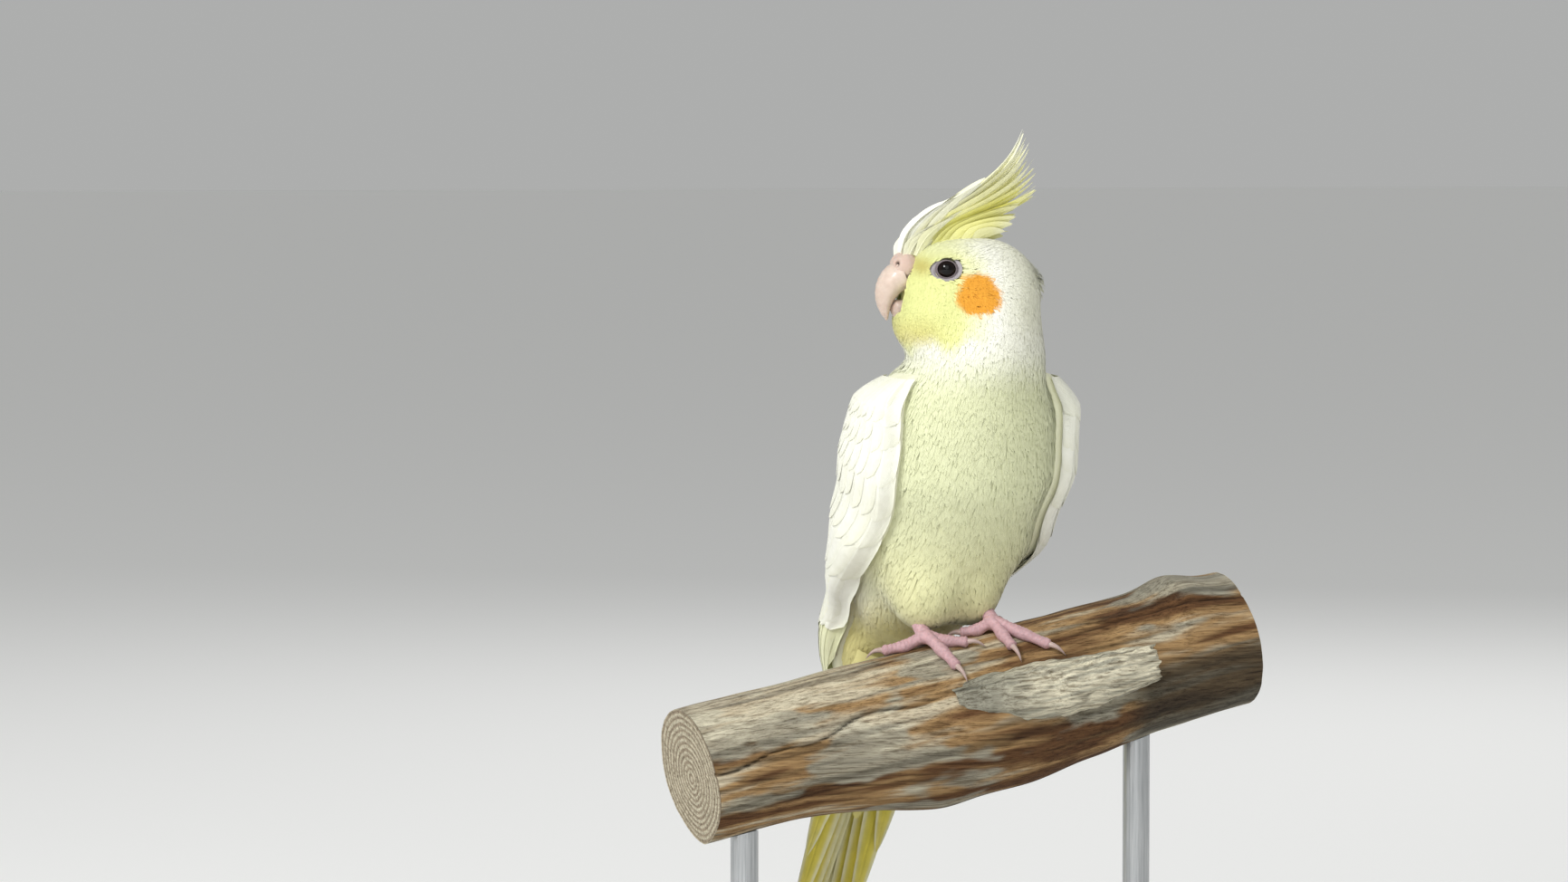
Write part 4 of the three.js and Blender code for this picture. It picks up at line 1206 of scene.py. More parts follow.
def tail_tint(rng):
    """Mustard down the middle, pale yellow along the edges, with faint bars across."""
    base = lerp(TAIL_YELLOW, DEEP_YELLOW, rng.uniform(0, 0.5)) * rng.uniform(0.95, 1.03)

    def colour(s, c):
        bars = 0.05 * np.sin(s * 95 + 3 * np.abs(c))
        edge = smoothstep(np.abs(c), 0.45, 0.95) * 0.75 + 0.2 * smoothstep(s, 0.75, 1)
        shade = base * (1 - bars[:, None])
        return toward(shade, CREAM, np.clip(edge, 0, 1))

    return colour


def tail_flesh(share):
    """Half the width and half the depth of the tail's fleshy root along its length."""
    return lerp(*TAIL["width"], share), lerp(*TAIL["depth"], share**0.7)


def add_tail_pair(pile, rng, pair):
    """A pair of tail feathers, shorter and further out than the pair above."""
    length = TAIL["length"] * (1 - 0.05 * pair - 0.012 * pair**2)
    for side in (1, -1):

        def place(s, x, ridge, side=side):
            spread = side * (1.6 + 1.8 * pair) * (0.75 + 0.35 * s)
            taper = 1 - 0.35 * s
            layer = 2.6 - 0.95 * pair + 0.12 * side
            sag = 0.9 * (x / 6.4) ** 2
            return tail_point(spread + x * taper, length * s, layer - sag - ridge)

        lay_vane(pile, place, 26, 6.6, 0.12, tail_tint(rng), rng, shaft=0.3)


def add_tail_coverts(pile, rng, tier, side):
    """A row of small feathers over the tail's root, or under it where the side is -1."""
    count = 7
    low, high = TAIL["flesh"]
    for i in range(count):
        across = lerp(-10.5, 10.5, i / (count - 1)) * (1 - 0.1 * tier)
        start = 2 + 9 * tier + rng.uniform(-1, 1)
        length = 26 - 0.75 * abs(across) + rng.uniform(-2, 2)

        def place(s, x, ridge, across=across, start=start, length=length):
            along = start + length * s
            over = across + x
            rim, deep = tail_flesh(np.clip((along - low) / (high - low), 0, 1))
            round_off = np.sqrt(np.maximum(1 - (over / (rim * 1.15)) ** 2, 0.02))
            level = side * (deep * round_off + 0.5 + 1.1 * s + ridge)
            level = level + (1.6 if side > 0 else -2.2) * smoothstep(along, 20, 46)
            return tail_point(over, along, level)

        root = tail_point(across, start, side * 6.0)[None]
        tint = lerp(markings_and_shade(root)[0], VENT, 0.5 if side < 0 else 0.15)
        lay_vane(pile, place, 8, 3.6, 0.8, tint, rng, shaft=0.1)


def make_tail():
    rng = np.random.default_rng(SEED + 5)
    pile = Pile()
    rows = 24
    columns = 32
    s, turn = share_and_turn(np.linspace(0, 1, rows), columns)
    width, depth = tail_flesh(s)
    flesh = tail_point(width * np.cos(turn), lerp(*TAIL["flesh"], s), depth * np.sin(turn))
    pile.add_rings(flesh, rows, columns, markings_and_shade(flesh))
    for pair in range(TAIL["pairs"]):
        add_tail_pair(pile, rng, pair)
    for tier in range(TAIL["covert_rows"]):
        for side in (1, -1):
            add_tail_coverts(pile, rng, tier, side)
    pile.piece("tail_vanes", vane_material, "tail_feathers", ["tail"])


# Crest.


def crest_curve(bend, lateral, share):
    """Points of a crest shaft, which leaves its root along rise and comes to its tip from fall."""
    root, rise, fall, tip = bend
    p0 = head_point(root[0], lateral[0], root[1])
    p1 = head_point(root[0] + rise[0], lateral[0], root[1] + rise[1])
    p2 = head_point(tip[0] + fall[0], lateral[1], tip[1] + fall[1])
    p3 = head_point(tip[0], lateral[1], tip[1])
    s = share[:, None]
    return (1 - s) ** 3 * p0 + 3 * (1 - s) ** 2 * s * p1 + 3 * (1 - s) * s**2 * p2 + s**3 * p3


# The tiers of the crest, from the brow back. Root and tip are places forward and up from
# the head's centre, and rise and fall are steps from them. Each gives the first feather's
# and the last one's, as pale does. Fan is how far they spread to each side, and slim how
# much each narrows to its tip.
CREST_TIERS = [
    {
        "count": 26,
        "root": ((22, 9.6), (17, 12)),
        "rise": ((-1, 5), (-4, 7)),
        "fall": ((5, -4), (8, -5)),
        "tip": ((15, 19.5), (3, 25)),
        "width": 2.3,
        "fan": 4.2,
        "slim": 0.3,
        "pale": (0.95, 0.5),
    },
    {
        "count": 24,
        "root": ((21.5, 10), (16, 12.5)),
        "rise": ((-2, 8.5), (-4, 8)),
        "fall": ((6, -3.5), (8, -5)),
        "tip": ((9, 27), (-4, 33)),
        "width": 2.9,
        "fan": 3.2,
        "slim": 0.4,
        "pale": (0.95, 0.7),
    },
    {
        "count": 22,
        "root": ((20, 11), (11, 13.5)),
        "rise": ((-4, 12.5), (-4, 6)),
        "fall": ((7, -20), (10, -5.5)),
        "tip": ((-14.9, 48.2), (-18.6, 28.4)),
        "width": 3.0,
        "fan": 2.4,
        "slim": 0.5,
        "pale": (0.7, 0.05),
    },
    {
        "count": 16,
        "root": ((14, 13), (1, 14.5)),
        "rise": ((-4, 6), (-3, 2.5)),
        "fall": ((7, -3), (5, 0.8)),
        "tip": ((-13.5, 27), (-9, 17.6)),
        "width": 3.2,
        "fan": 3.6,
        "slim": 0.2,
        "pale": (0.1, 0.45),
    },
]
CREST_BEND = ("root", "rise", "fall", "tip")
CREST_ROLL = 1.25
CREST_CURL = 0.06


def crest_tint(rng, pale):
    base = lerp(CREST_YELLOW, WHITE, np.clip(pale + rng.uniform(-0.1, 0.1), 0, 1))

    def colour(s, _c):
        white = 0.45 * smoothstep(s, 0.6, 1.0) + 0.25 * (1 - smoothstep(s, 0.0, 0.35))
        return toward(base, WHITE, white)

    return colour


def make_crest():
    """Feathers that overlap in one mass, faced sideways on its sides, with loose tips."""
    rng = np.random.default_rng(SEED + 9)
    pile = Pile()
    for tier in CREST_TIERS:
        for i in range(tier["count"]):
            share = i / (tier["count"] - 1)
            ends = [np.array(tier[key], float) for key in CREST_BEND]
            bend = [lerp(first, last, share) for first, last in ends]
            bend[0] = bend[0] + [rng.uniform(-0.6, 0.6), 0]
            bend[3] = bend[3] + rng.uniform(-0.9, 0.9, 2)
            fan = math.sin(i * 2.4)
            lateral = (tier["fan"] * fan * 0.9, tier["fan"] * fan)

            def place(s, x, ridge, bend=bend, lateral=lateral, fan=fan, slim=tier["slim"]):
                middle = crest_curve(bend, lateral, s)
                ahead = crest_curve(bend, lateral, np.minimum(s + 0.02, 1.02))
                tangent = unit(ahead - middle)
                up = unit(np.cross(tangent, head_left))
                level = np.cross(up, tangent)
                roll = CREST_ROLL * fan * (1 - 0.3 * s)[:, None]
                side = level * np.cos(roll) - up * np.sin(roll)
                outward = up * np.cos(roll) + level * np.sin(roll)
                over = x * (1 - slim * s)
                curl = -CREST_CURL * over**2
                return middle + side * over[:, None] + outward * (curl + ridge * 0.6)[:, None]

            tint = crest_tint(rng, lerp(*tier["pale"], share))
            lay_vane(pile, place, 18, tier["width"], 0.02, tint, rng, shaft=0.25, base=0.4)
    pile.piece("crest_vanes", coat_material, "crest_feathers", ["crest"])


# Bill, cere and eyes.


def horn_material(name):
    """Horn: mottled, with fine flakes and a soft gloss."""
    mottle = (0.5, 6.0, (0.86, 0.82, 0.8), (1, 1, 1))
    flesh = (0.15, (1.5, 0.7, 0.5))
    material, tree, shader = tinted_material(name, 0.42, 0.4, mottle, flesh, coat=0.15)
    noise_bump(tree, shader, 0.9, 5.0, 0.35, 0.12, stretch=(1, 1, 3))
    return material


def ring_tube(centres, across, upward, sides):
    """Rings of points round a line of centres, with the half sizes as vectors."""
    turn = np.linspace(0, 2 * np.pi, sides, endpoint=False)
    ring = centres[:, None] + across[:, None] * np.cos(turn)[None, :, None]
    return (ring + upward[:, None] * np.sin(turn)[None, :, None]).reshape(-1, 3)


bill_thick = through(BILL_THICK)


def make_upper_bill():
    rows = 40
    sides = 36
    share = np.linspace(0, 0.985, rows)
    turn = np.radians(lerp(BILL["from"], BILL["to"], share))
    depth = bill_thick(share) / 2
    width = BILL["width"] * (1 - share**2) ** 0.6
    out = BILL["radius"] - depth + 0.6 * share**3
    middle = head_point(BILL["forward"] + out * np.cos(turn), 0, BILL["up"] + out * np.sin(turn))
    spoke = np.cos(turn)[:, None] * head_forward + np.sin(turn)[:, None] * head_up
    points = ring_tube(middle, head_left * width[:, None], spoke * depth[:, None], sides)
    station, ring = share_and_turn(share, sides)
    keel = 0.25 * np.maximum(np.sin(ring), 0) ** 6
    growth = 0.05 * np.sin(station * 60)
    points = points + np.repeat(spoke, sides, axis=0) * (keel + growth)[:, None]
    tint = toward(BILL_COLOUR, BILL_TIP, station**2)
    pile = Pile()
    pile.add_rings(points, rows, sides, tint)
    pile.add_cap(points[-sides:], tint[-1])
    material = horn_material("bill_horn")
    pile.piece("bill_upper_horn", material, "bill", ["bill_upper"])
    return material


def make_lower_bill(material):
    rows = 20
    sides = 30
    share = np.linspace(0, 1, rows)
    middle = head_point(lerp(*LOWER_BILL["forward"], share), 0, lerp(*LOWER_BILL["up"], share))
    width = lerp(*LOWER_BILL["width"], share**1.6)
    depth = lerp(*LOWER_BILL["depth"], share)
    close = np.sqrt(np.maximum(1 - smoothstep(share, 0.82, 1.0) ** 2, 0.02))
    across = head_left * (width * close)[:, None]
    upward = head_up * (depth * close)[:, None]
    points = ring_tube(middle, across, upward, sides)
    _, scoop = share_and_turn(share, sides)
    points = points - head_up * (0.7 * np.maximum(np.sin(scoop), 0) ** 3)[:, None]
    pile = Pile()
    pile.add_rings(points, rows, sides, LOWER_BILL_COLOUR)
    pile.add_cap(points[-sides:], LOWER_BILL_COLOUR)
    pile.piece("bill_lower_horn", material, "bill", ["bill_lower"])


def ball_directions(rows, columns):
    lat, lon = share_and_turn(np.linspace(-np.pi / 2, np.pi / 2, rows), columns)
    return np.stack([np.cos(lat) * np.cos(lon), np.cos(lat) * np.sin(lon), np.sin(lat)], -1)


def make_cere():
    """Two fleshy lobes over the bill's root, with a nostril in each."""
    rows = 60
    columns = 80
    forward, apart_by, up = CERE
    lobes = []
    for side in (1, -1):
        centre = head_point(forward, side * apart_by, up)
        lobes.append((centre, HEAD_AXES, np.array(CERE_RADII)))
    way = ball_directions(rows, columns)
    origin = np.tile(head_point(forward, 0, up), (len(way), 1))
    points = cast(origin, way, 0.0, lambda p: smooth_union(p, lobes, CERE_BLEND), reach=12.0)
    tint = np.tile(CERE_COLOUR, (len(points), 1))
    for side in (1, -1):
        nostril = head_point(NOSTRIL[0], side * NOSTRIL[1], NOSTRIL[2])
        near = np.linalg.norm(points - nostril, axis=1)
        deep = bell(near, 0.95)
        rim = bell(near - 1.5, 0.5)
        inward = unit(origin - points)
        points = points + inward * (1.5 * deep - 0.18 * rim)[:, None]
        tint = toward(tint, NOSTRIL_COLOUR, smoothstep(-near, -1.25, -0.5))
    for i in range(len(points)):
        bumpy = noise.noise(Vector(points[i] * 1.6))
        points[i] = points[i] + way[i] * 0.12 * bumpy
    flesh = (0.2, (2.0, 0.8, 0.5))
    material, tree, shader = tinted_material("cere_skin", 0.6, 0.35, flesh=flesh)
    noise_bump(tree, shader, 2.4, 4.0, 0.4, 0.15)
    pile = Pile()
    pile.add_rings(points, rows, columns, tint)
    pile.piece("cere_flesh", material, "cere_skin", ["cere"])


def make_eyes():
    """Near-black eyes with a dark red-brown iris, under a wet cornea."""
    material, _, shader = tinted_material("eye", 0.08, 0.2, coat=0.12)
    shader.inputs["Coat Roughness"].default_value = 0.02
    rows = 40
    columns = 48
    polar, turn = share_and_turn(np.linspace(0, np.pi, rows), columns)
    for side, name in ((1, "eye_left"), (-1, "eye_right")):
        centre, axis = EYES[side]
        level = unit(np.cross(axis, head_up))
        upright = np.cross(level, axis)
        bulge = 0.22 * bell(polar, 0.5)
        radius = EYE["radius"] - 0.05 + bulge
        ring = np.sin(polar) * EYE["radius"]
        spoke = np.cos(turn)[:, None] * level + np.sin(turn)[:, None] * upright
        way = np.cos(polar)[:, None] * axis + np.sin(polar)[:, None] * spoke
        points = centre + radius[:, None] * way
        rays = 0.5 + 0.5 * np.sin(turn * 23)
        iris = smoothstep(ring, *EYE["pupil"]) * (1 - smoothstep(ring, *EYE["iris"]))
        tint = np.tile(PUPIL_COLOUR, (len(points), 1))
        target = IRIS_COLOUR[None] * (0.7 + 0.3 * rays)[:, None]
        tint = toward(tint, target, iris)
        pile = Pile()
        pile.add_rings(points, rows, columns, tint)
        pile.piece(f"{name}_ball", material, "eye", [name])


def make_eye_rings():
    """The bare, finely wrinkled skin round each eye, with the lids' edges."""
    material, tree, shader = tinted_material("eye_ring", 0.6, 0.3)
    noise_bump(tree, shader, 2.2, 3.0, 0.4, 0.12)
    rows = 22
    columns = 72
    s, turn = share_and_turn(np.linspace(0, 1, rows), columns)
    for side, name in ((1, "eye_ring_left"), (-1, "eye_ring_right")):
        centre, axis = EYES[side]
        level = unit(head_forward - axis * (head_forward @ axis))
        upright = unit(np.cross(axis, level) * side)
        ahead = lerp(EYE["opening"][0], EYE["ring"][0], s) * np.cos(turn) + 0.6 * s
        above = lerp(EYE["opening"][1], EYE["ring"][1], s) * np.sin(turn)
        on_ball = np.sqrt(np.maximum(EYE["radius"] ** 2 - ahead**2 - above**2, 0.0)) + 0.12
        flat = centre + ahead[:, None] * level + above[:, None] * upright
        from_inside = flat - axis * 2.0
        skin = cast(from_inside, np.tile(axis, (len(flat), 1)), -0.55, reach=12.0)
        height = lerp(on_ball, (skin - flat) @ axis, smoothstep(s, 0.12, 0.55))
        lid = 0.38 * bell(s - 0.16, 0.12)
        wrinkle = 0.07 * np.sin(s * 26 + 0.6 * np.sin(3 * turn)) * smoothstep(s, 0.2, 0.4)
        points = flat + axis * (height + lid + wrinkle)[:, None]
        tint = toward(LID_COLOUR, EYE_RING_COLOUR, smoothstep(s, 0.1, 0.5))
        pile = Pile()
        pile.add_rings(points, rows, columns, tint)
        pile.piece(name, material, "cere_skin")


# Branch.

perch_along = np.array([math.cos(PERCH["slope"]), 0.0, math.sin(PERCH["slope"])])
perch_up = np.array([-math.sin(PERCH["slope"]), 0.0, math.cos(PERCH["slope"])])
perch_centre = np.array([0.0, 0.0, -PERCH["radius"] / math.cos(PERCH["slope"])])


def perch_point(along, turn, out):
    along, turn, out = np.broadcast_arrays(along, turn, out)
    up = (out * np.cos(turn))[..., None] * perch_up
    front = (out * np.sin(turn))[..., None] * np.array([0.0, -1.0, 0.0])
    return perch_centre + along[..., None] * perch_along + up + front


def perch_radius(along, turn):
    """The branch's radius: flutes, a swelling at the stub, a knot and a scab of bark."""
    flutes = 0.35 * np.sin(3 * turn + 0.02 * along) + 0.3 * np.sin(5 * turn - 0.05 * along)
    away = 1 - smoothstep(np.cos(turn), 0.1, 0.8)
    swelling = 5 * bell(along - 8, 42) * away
    knot = 3 * bell(along - 73, 8) * np.maximum(0, np.cos(turn - 0.3)) ** 2
    below = np.maximum(0, -np.cos(turn - 0.4)) ** 3
    scab = 2.6 * bell(along + 14, 12) * below
    narrow = 2.2 * smoothstep(-along, 25, 60) * np.maximum(0, -np.cos(turn))
    return PERCH["radius"] + flutes * away + swelling + knot + scab - narrow


def fbm(points, octaves=3):
    """Layered noise at each point, from about -1 to 1."""
    total = np.zeros(len(points))
    for octave in range(octaves):
        values = [noise.noise(Vector(p)) for p in points * 2**octave]
        total += np.array(values) / 1.8**octave
    return total


def wood_noise(along, turn, draw, fineness, octaves=3, shift=(0, 0)):
    """Noise round a branch, drawn out along it. The shift keeps one apart from another."""
    across = np.cos(turn) * fineness + shift[0]
    down = np.sin(turn) * fineness + shift[1]
    return fbm(np.stack([along * draw, across, down], 1), octaves)


def wood_material():
    """Bare weathered wood: long grain with fine dark fibres along the branch."""
    material, tree, shader = new_material("driftwood", 0.85, specular=0.2)
    tint = node(tree, "ShaderNodeAttribute", attribute_name="tint").outputs["Color"]
    turn = (0, PERCH["slope"], 0)
    grain = noise_node(tree, position(tree, (0.03, 1, 1), turn), 1.1, 9.0, 0.68).outputs["Fac"]
    grain_stops = [(0.36, (0.42, 0.38, 0.33)), (0.5, (0.92, 0.9, 0.87)), (0.66, (1.2, 1.19, 1.15))]
    shade = ramp(tree, grain, grain_stops)
    fibre = noise_node(tree, position(tree, (0.04, 1, 1), turn), 3.4, 8.0, 0.75).outputs["Fac"]
    fibre_stops = [(0.38, (0.45, 0.41, 0.37)), (0.46, (0.9, 0.89, 0.87)), (0.6, (1.04, 1.04, 1.03))]
    fine = ramp(tree, fibre, fibre_stops)
    tree.links.new(multiply(tree, multiply(tree, tint, shade), fine), shader.inputs["Base Color"])
    both = maths(tree, "ADD", grain, maths(tree, "MULTIPLY", fibre, 0.6))
    bump(tree, shader, both, 0.8, 0.5)
    return material


def wood_tint(along, turn):
    """Tan wood with brown, grey and pale streaks, a painted highlight along the top at the bird's right
    end, dark bark low on the front and a darker underside.
    """
    streaks = wood_noise(along, turn, 0.016, 3.4, 4)
    patches = wood_noise(along, turn, 0.022, 1.7, 4, (7, 0))
    bands = wood_noise(along, turn, 0.01, 6, 3, (3, 0))
    colour = toward(BRANCH_TAN, BRANCH_BROWN, smoothstep(streaks, -0.05, 0.35))
    colour = toward(colour, BRANCH_GREY, 0.85 * smoothstep(patches, 0.0, 0.22))
    colour = toward(colour, BRANCH_PALE, 0.7 * smoothstep(-streaks, 0.15, 0.5))
    # Painted highlight: the top is paler at the bird's right end, where light falls on it.
    top_highlight = smoothstep(np.cos(turn - 0.15), 0.75, 0.97) * smoothstep(-along, 18, 40)
    colour = toward(colour, BRANCH_PALE, 0.65 * top_highlight)
    colour = colour * (1 - 0.45 * smoothstep(bands, 0.12, 0.4))[:, None]
    bark = smoothstep(turn, 1.35, 1.6) * (1 - smoothstep(turn, 2.5, 2.8)) * smoothstep(along, 40, 52)
    under = smoothstep(-np.cos(turn - 0.35), 0.75, 0.95)
    return toward(colour, BRANCH_DARK, 0.85 * np.maximum(bark, 0.7 * under))


YEAR_RINGS = 70


def add_sawn_end(pile, rim, middle, away):
    """A sawn end with its year rings, where away is the way out of the wood."""
    rows = 40
    columns = len(rim)
    share = np.linspace(1, 0, rows)
    rings = np.sin(share * YEAR_RINGS)
    sawn = middle + (rim - middle)[None] * share[:, None, None]
    sawn = sawn + away * (0.12 * rings)[:, None, None]
    tint = toward(BRANCH_BROWN, BRANCH_PALE, smoothstep(rings, -1, 1) * 0.6 + 0.3)
    faces = grid_faces(rows, columns, closed=True)
    if away @ perch_along < 0:
        faces = faces[:, ::-1]
    pile.add(sawn.reshape(-1, 3), faces, np.repeat(tint, columns, axis=0))


def make_perch():
    rows = 300
    columns = 200
    stations = np.linspace(PERCH["right"], PERCH["left"], rows)
    along, turn = share_and_turn(stations, columns)
    grain = wood_noise(along, turn, 0.05, 5, 2) * 0.22
    coarse = wood_noise(along, turn, 0.06, 1.4, 1) * 0.5
    crack_at = 1.25 + 0.12 * np.sin(along * 0.06) + 0.05 * np.sin(along * 0.21)
    crack = bell(turn - crack_at, 0.02) * (1 - smoothstep(along, -25, 0))
    second_at = 0.72 + 0.05 * np.sin(along * 0.09)
    second = bell(turn - second_at, 0.016) * smoothstep(along, 20, 40)
    calm = 1 - 0.75 * smoothstep(np.cos(turn), 0.55, 0.95) * smoothstep(-np.abs(along), -34, -26)
    radius = perch_radius(along, turn) + (grain + coarse) * calm - 1.5 * crack - 1.0 * second
    points = perch_point(along, turn, radius)
    tint = wood_tint(along, turn) * (1 - 0.75 * np.clip(crack + second, 0, 1))[:, None]
    pile = Pile()
    pile.add_rings(points, rows, columns, tint)
    for rim, station, away in (
        (points[:columns], stations[0], -perch_along),
        (points[-columns:], stations[-1], perch_along),
    ):
        add_sawn_end(pile, rim, perch_point(station, 0.0, 0.0), away)
    material = wood_material()
    pile.piece("perch_wood", material, "perch_wood", ["perch"])
    make_stub(material)


def make_stub(material):
    """The broken stub of a side branch, pale and splintered at its end."""
    rows = 90
    columns = 90
    share, turn = share_and_turn(np.linspace(0, 1, rows), columns)
    across = np.cos(turn)
    down = np.sin(turn)
    along = lerp(STUB["from"] - 12, STUB["to"], share)
    radius = STUB["radius"] * (1 - 0.28 * share**3) * (1 + 0.07 * np.sin(2 * turn + 5 * share))
    radius = radius + 0.9 * wood_noise(along, turn, 0.12, 1.6, 3, (0, 3))
    out = PERCH["radius"] - 4 + STUB["out"] * share**0.8
    splinter = fbm(np.stack([across * 2.6, down * 2.6, turn * 0], 1))
    along = along + smoothstep(share, 0.75, 1.0) * 3.2 * splinter
    base = perch_point(along, STUB["angle"], out + 0.85 * radius * down)
    points = base + perch_up * (radius * across * math.sin(STUB["angle"]))[:, None]
    grain = wood_noise(along, turn, 0.05, 5, 3, (0, 9))
    pale = toward(BRANCH_PALE, BRANCH_GREY, smoothstep(grain, -0.1, 0.35))
    tint = toward(BRANCH_GREY * 0.8, pale, smoothstep(share, 0.1, 0.5))
    tint = tint * (1 - 0.5 * smoothstep(-grain, 0.3, 0.5))[:, None]
    pile = Pile()
    pile.add_rings(points, rows, columns, tint)
    rim = points[-columns:]
    middle = rim.mean(0)
    break_rows = 24
    inward = np.linspace(1, 0, break_rows)
    broken = (middle + (rim - middle)[None] * inward[:, None, None]).reshape(-1, 3)
    teeth = fbm(broken * 0.5) * np.repeat(1 - inward**4, columns)
    broken = broken + perch_along * (2.4 * teeth)[:, None]
    shade = toward(BRANCH_PALE, BRANCH_BROWN, smoothstep(-teeth, 0.0, 0.5))
    pile.add_rings(broken, break_rows, columns, shade)
    pile.piece("perch_stub", material, "perch_wood")


# Feet.

TOE = {"radius": 1.85, "knuckle": 3.3, "claw": 5.4, "claw_radius": 0.9}
SCUTE_PITCH = 1.3
SHANK_RADIUS = 2.0
SHANK_REACH = 1.7
PALM_RADII = (2.7, 2.7, 2.3)
# Places on the branch: how far along it, and how far round it in degrees. A shank's end
# has its height over the branch besides.
FEET = {
    "right": {
        "hub": (-7.3, 4.7),
        "shank": (-7.5, -8, 9.5),
        "toes": {
            "outer_front": (-5.3, 47),
            "inner_front": (2.9, 23.5),
            "outer_back": (-19.9, -5.7),
            "inner_back": (-5, -30),
        },
    },
    "left": {
        "hub": (13.4, 10.5),
        "shank": (15, -6, 7.5),
        "toes": {
            "outer_front": (24.7, 49),
            "inner_front": (13.8, 41.5),
            "outer_back": (21, -20),
            "inner_back": (4, 2.9),
        },
    },
}


def toe_point(foot, end, share, height):
    along = lerp(foot["hub"][0], end[0], share)
    turn = np.radians(lerp(foot["hub"][1], end[1], share))
    return perch_point(along, turn, perch_radius(along, turn) + height)


def scaled_tube(centres, radii, sides, scute=0.0):
    """A tube round a line, with low plates across its top where scute is set."""
    tangent = unit(np.gradient(centres, axis=0))
    across = np.cross(tangent, perch_up)
    weak = np.linalg.norm(across, axis=1) < 0.25
    across[weak] = np.cross(tangent[weak], [0.0, 1.0, 0.0])
    across = unit(across)
    upward = np.cross(across, tangent)
    turn = np.linspace(0, 2 * np.pi, sides, endpoint=False)
    travelled = np.concatenate([[0], np.cumsum(np.linalg.norm(np.diff(centres, axis=0), axis=1))])
    plate = (travelled / SCUTE_PITCH) % 1.0
    step = scute * (0.5 - plate)[:, None] * np.clip(np.sin(turn) + 0.35, 0, 1)[None]
    granule = scute * 0.5 * np.sin(travelled * 9)[:, None] * np.clip(-np.sin(turn), 0, 1)[None]
    reach = radii[:, None] + step + granule * np.sin(turn * 9)[None]
    ring = across[:, None] * np.cos(turn)[None, :, None] + upward[:, None] * np.sin(turn)[None, :, None]
    return (centres[:, None] + ring * reach[..., None]).reshape(-1, 3)


def foot_material():
    mottle = (0.9, 5.0, (0.78, 0.76, 0.76), (1.06, 1.05, 1.05))
    flesh = (0.15, (2.0, 0.8, 0.6))
    material, tree, shader = tinted_material("foot_skin", 0.55, 0.35, mottle, flesh)
    scales = node(tree, "ShaderNodeTexVoronoi", {"Vector": position(tree), "Scale": 1.5})
    bump(tree, shader, scales.outputs["Distance"], 0.45, 0.12)
    return material


def add_toe(flesh, foot, end):
    rows = 70
    sides = 28
    share = np.linspace(0, 1, rows)
    height = lerp(TOE["knuckle"], TOE["radius"] * 0.86, smoothstep(share, 0, 0.55))
    pads = 0.16 * np.cos(share * 4 * np.pi)
    radii = TOE["radius"] * (1.05 - 0.24 * share) + pads
    radii = radii * np.sqrt(np.clip(1 - smoothstep(share, 0.93, 1.0) * 0.75, 0.1, 1))
    points = scaled_tube(toe_point(foot, end, share, height), radii, sides, scute=0.22)
    tint = toward(FOOT_COLOUR, FOOT_COLOUR * 0.9, np.repeat(share, sides))
    flesh.add_rings(points, rows, sides, tint)


def add_claw(claws, foot, end):
    rows = 26
    sides = 18
    share = np.linspace(0, 1, rows)
    length = np.linalg.norm(toe_point(foot, end, 1.0, 0.0) - toe_point(foot, end, 0.0, 0.0))
    along = 0.97 + (TOE["claw"] / length) * share
    rise = lerp(TOE["radius"] * 0.95, 0.5, share**1.5) + 0.7 * np.sin(np.pi * share)
    thick = TOE["claw_radius"] * np.maximum(1 - share, 0.02) ** 0.7
    horn = scaled_tube(toe_point(foot, end, along, rise), thick, sides)
    tint = toward(CLAW_COLOUR, CLAW_COLOUR * 0.75, np.repeat(share, sides))
    claws.add_rings(horn, rows, sides, tint)


def add_shank(flesh, foot):
    """The shank, up into the belly's feathers, and the palm that the toes leave."""
    rows = 60
    sides = 30
    hub = toe_point(foot, foot["hub"], 0.0, TOE["knuckle"])
    along, turn, height = foot["shank"]
    angle = math.radians(turn)
    knee = perch_point(along, angle, perch_radius(along, angle) + height)
    above = hub + (knee - hub) * SHANK_REACH
    share = np.linspace(-0.08, 1, rows)
    line = hub + (above - hub) * share[:, None]
    shank = scaled_tube(line, SHANK_RADIUS + 0.25 * np.cos(share * 6), sides, scute=0.2)
    flesh.add_rings(shank, rows, sides, FOOT_COLOUR)
    palm_rows = 24
    palm_columns = 32
    palm = hub + ball_directions(palm_rows, palm_columns) * np.array(PALM_RADII)
    flesh.add_rings(palm, palm_rows, palm_columns, FOOT_COLOUR)


def make_feet():
    skin = foot_material()
    claw_horn = horn_material("claw_horn")
    for side, foot in FEET.items():
        flesh = Pile()
        claws = Pile()
        for end in foot["toes"].values():
            add_toe(flesh, foot, end)
            add_claw(claws, foot, end)
        add_shank(flesh, foot)
        flesh.piece(f"foot_{side}_skin", skin, "foot_skin", [f"foot_{side}"])
        names = [f"claw_{side}_{toe}" for toe in foot["toes"]]
        claws.piece(f"claws_{side}", claw_horn, "claw", names)


# Stand.


def refinish(name, material):
    """Gives a new finish to a solid that stays."""
    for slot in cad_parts[name].material_slots:
        slot.material = material


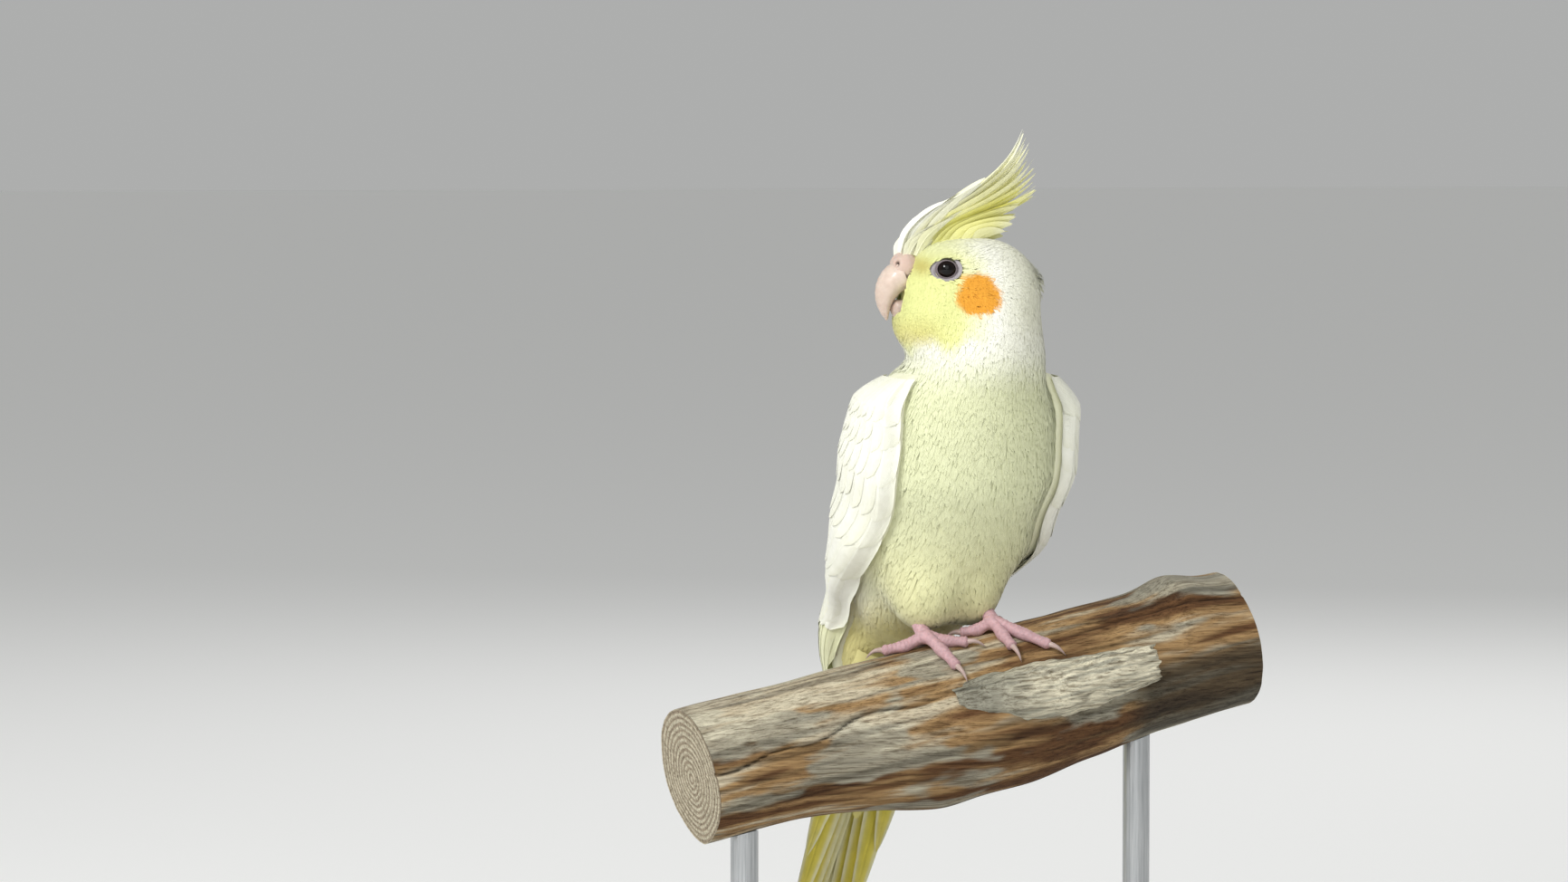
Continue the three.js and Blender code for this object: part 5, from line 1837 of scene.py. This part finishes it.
def finish_stand():
    """The stand keeps its solids, with a stained wood and a brushed metal finish."""
    wood, tree, shader = new_material("stained_wood", 0.38, specular=0.45, coat=0.2)
    grain = noise_node(tree, position(tree, (0.05, 0.6, 1)), 0.35, 6.0, 0.6).outputs["Fac"]
    stops = [(0.3, linear("2e2018")), (0.55, linear("4a3526")), (0.75, linear("5c4431"))]
    tree.links.new(ramp(tree, grain, stops), shader.inputs["Base Color"])
    bump(tree, shader, grain, 0.15, 0.2)
    refinish("stand_base", wood)
    metal, tree, shader = new_material("brushed_rod", 0.34, metallic=1.0)
    brushed = noise_node(tree, position(tree, (2.0, 2.0, 0.04)), 1.5, 4.0).outputs["Fac"]
    stops = [(0.3, linear("a3a6a8")), (0.7, linear("c9cbcc"))]
    tree.links.new(ramp(tree, brushed, stops), shader.inputs["Base Color"])
    bump(tree, shader, brushed, 0.15, 0.05)
    for name in ("stand_rod_left", "stand_rod_right"):
        refinish(name, metal)
        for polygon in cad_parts[name].data.polygons:
            polygon.use_smooth = abs(polygon.normal.z) < 0.5


# Studio.


def make_studio():
    """A plain pale floor under soft lamps."""
    material, _, shader = new_material("studio_floor", 0.9, specular=0.1)
    shader.inputs["Base Color"].default_value = FLOOR_COLOUR
    mesh = bpy.data.meshes.new("studio_floor")
    signs = ((-1, -1), (1, -1), (1, 1), (-1, 1))
    corners = [(x * FLOOR_REACH, y * FLOOR_REACH, 0) for x, y in signs]
    mesh.from_pydata(corners, [], [(0, 1, 2, 3)])
    mesh.materials.append(material)
    floor = bpy.data.objects.new("studio_floor", mesh)
    bpy.context.scene.collection.objects.link(floor)
    world = bpy.data.worlds.new("studio")
    bpy.context.scene.world = world
    world.use_nodes = True
    background = world.node_tree.nodes["Background"]
    background.inputs["Color"].default_value = WORLD_COLOUR
    background.inputs["Strength"].default_value = WORLD_STRENGTH
    for name, place, size, power in LIGHTS:
        light = bpy.data.lights.new(name, "AREA")
        light.size = size
        light.energy = power
        lamp = bpy.data.objects.new(name, light)
        lamp.location = place
        aim = Vector(LIGHTS_AIM) - Vector(place)
        lamp.rotation_euler = aim.to_track_quat("-Z", "Y").to_euler()
        bpy.context.scene.collection.objects.link(lamp)


def make_camera():
    azimuth = math.radians(CAMERA["azimuth"])
    elevation = math.radians(CAMERA["elevation"])
    right = np.array([math.cos(azimuth), math.sin(azimuth), 0.0])
    back = np.array(
        [
            math.sin(azimuth) * math.cos(elevation),
            -math.cos(azimuth) * math.cos(elevation),
            math.sin(elevation),
        ]
    )
    target = FEET_AT + CAMERA["right"] * right + CAMERA["up"] * head_up
    place = (target + back * CAMERA["distance"]) * MM
    data = bpy.data.cameras.new("camera")
    data.sensor_width = SENSOR_WIDTH
    data.lens = SENSOR_WIDTH * FOCAL_PIXELS / PHOTO_WIDTH
    data.clip_start = 0.05
    data.clip_end = 200
    camera = bpy.data.objects.new("camera", data)
    camera.location = place
    camera.rotation_euler = Vector(-back).to_track_quat("-Z", "Y").to_euler()
    bpy.context.scene.collection.objects.link(camera)
    bpy.context.scene.camera = camera


make_camera()
make_studio()
make_skin()
make_coat()
make_wing("wing_right", 1, SEED + 2)
make_wing("wing_left", -1, SEED + 3)
make_tail()
make_crest()
make_lower_bill(make_upper_bill())
make_cere()
make_eyes()
make_eye_rings()
make_perch()
make_feet()
finish_stand()

bpy.context.scene.view_settings.view_transform = "Standard"
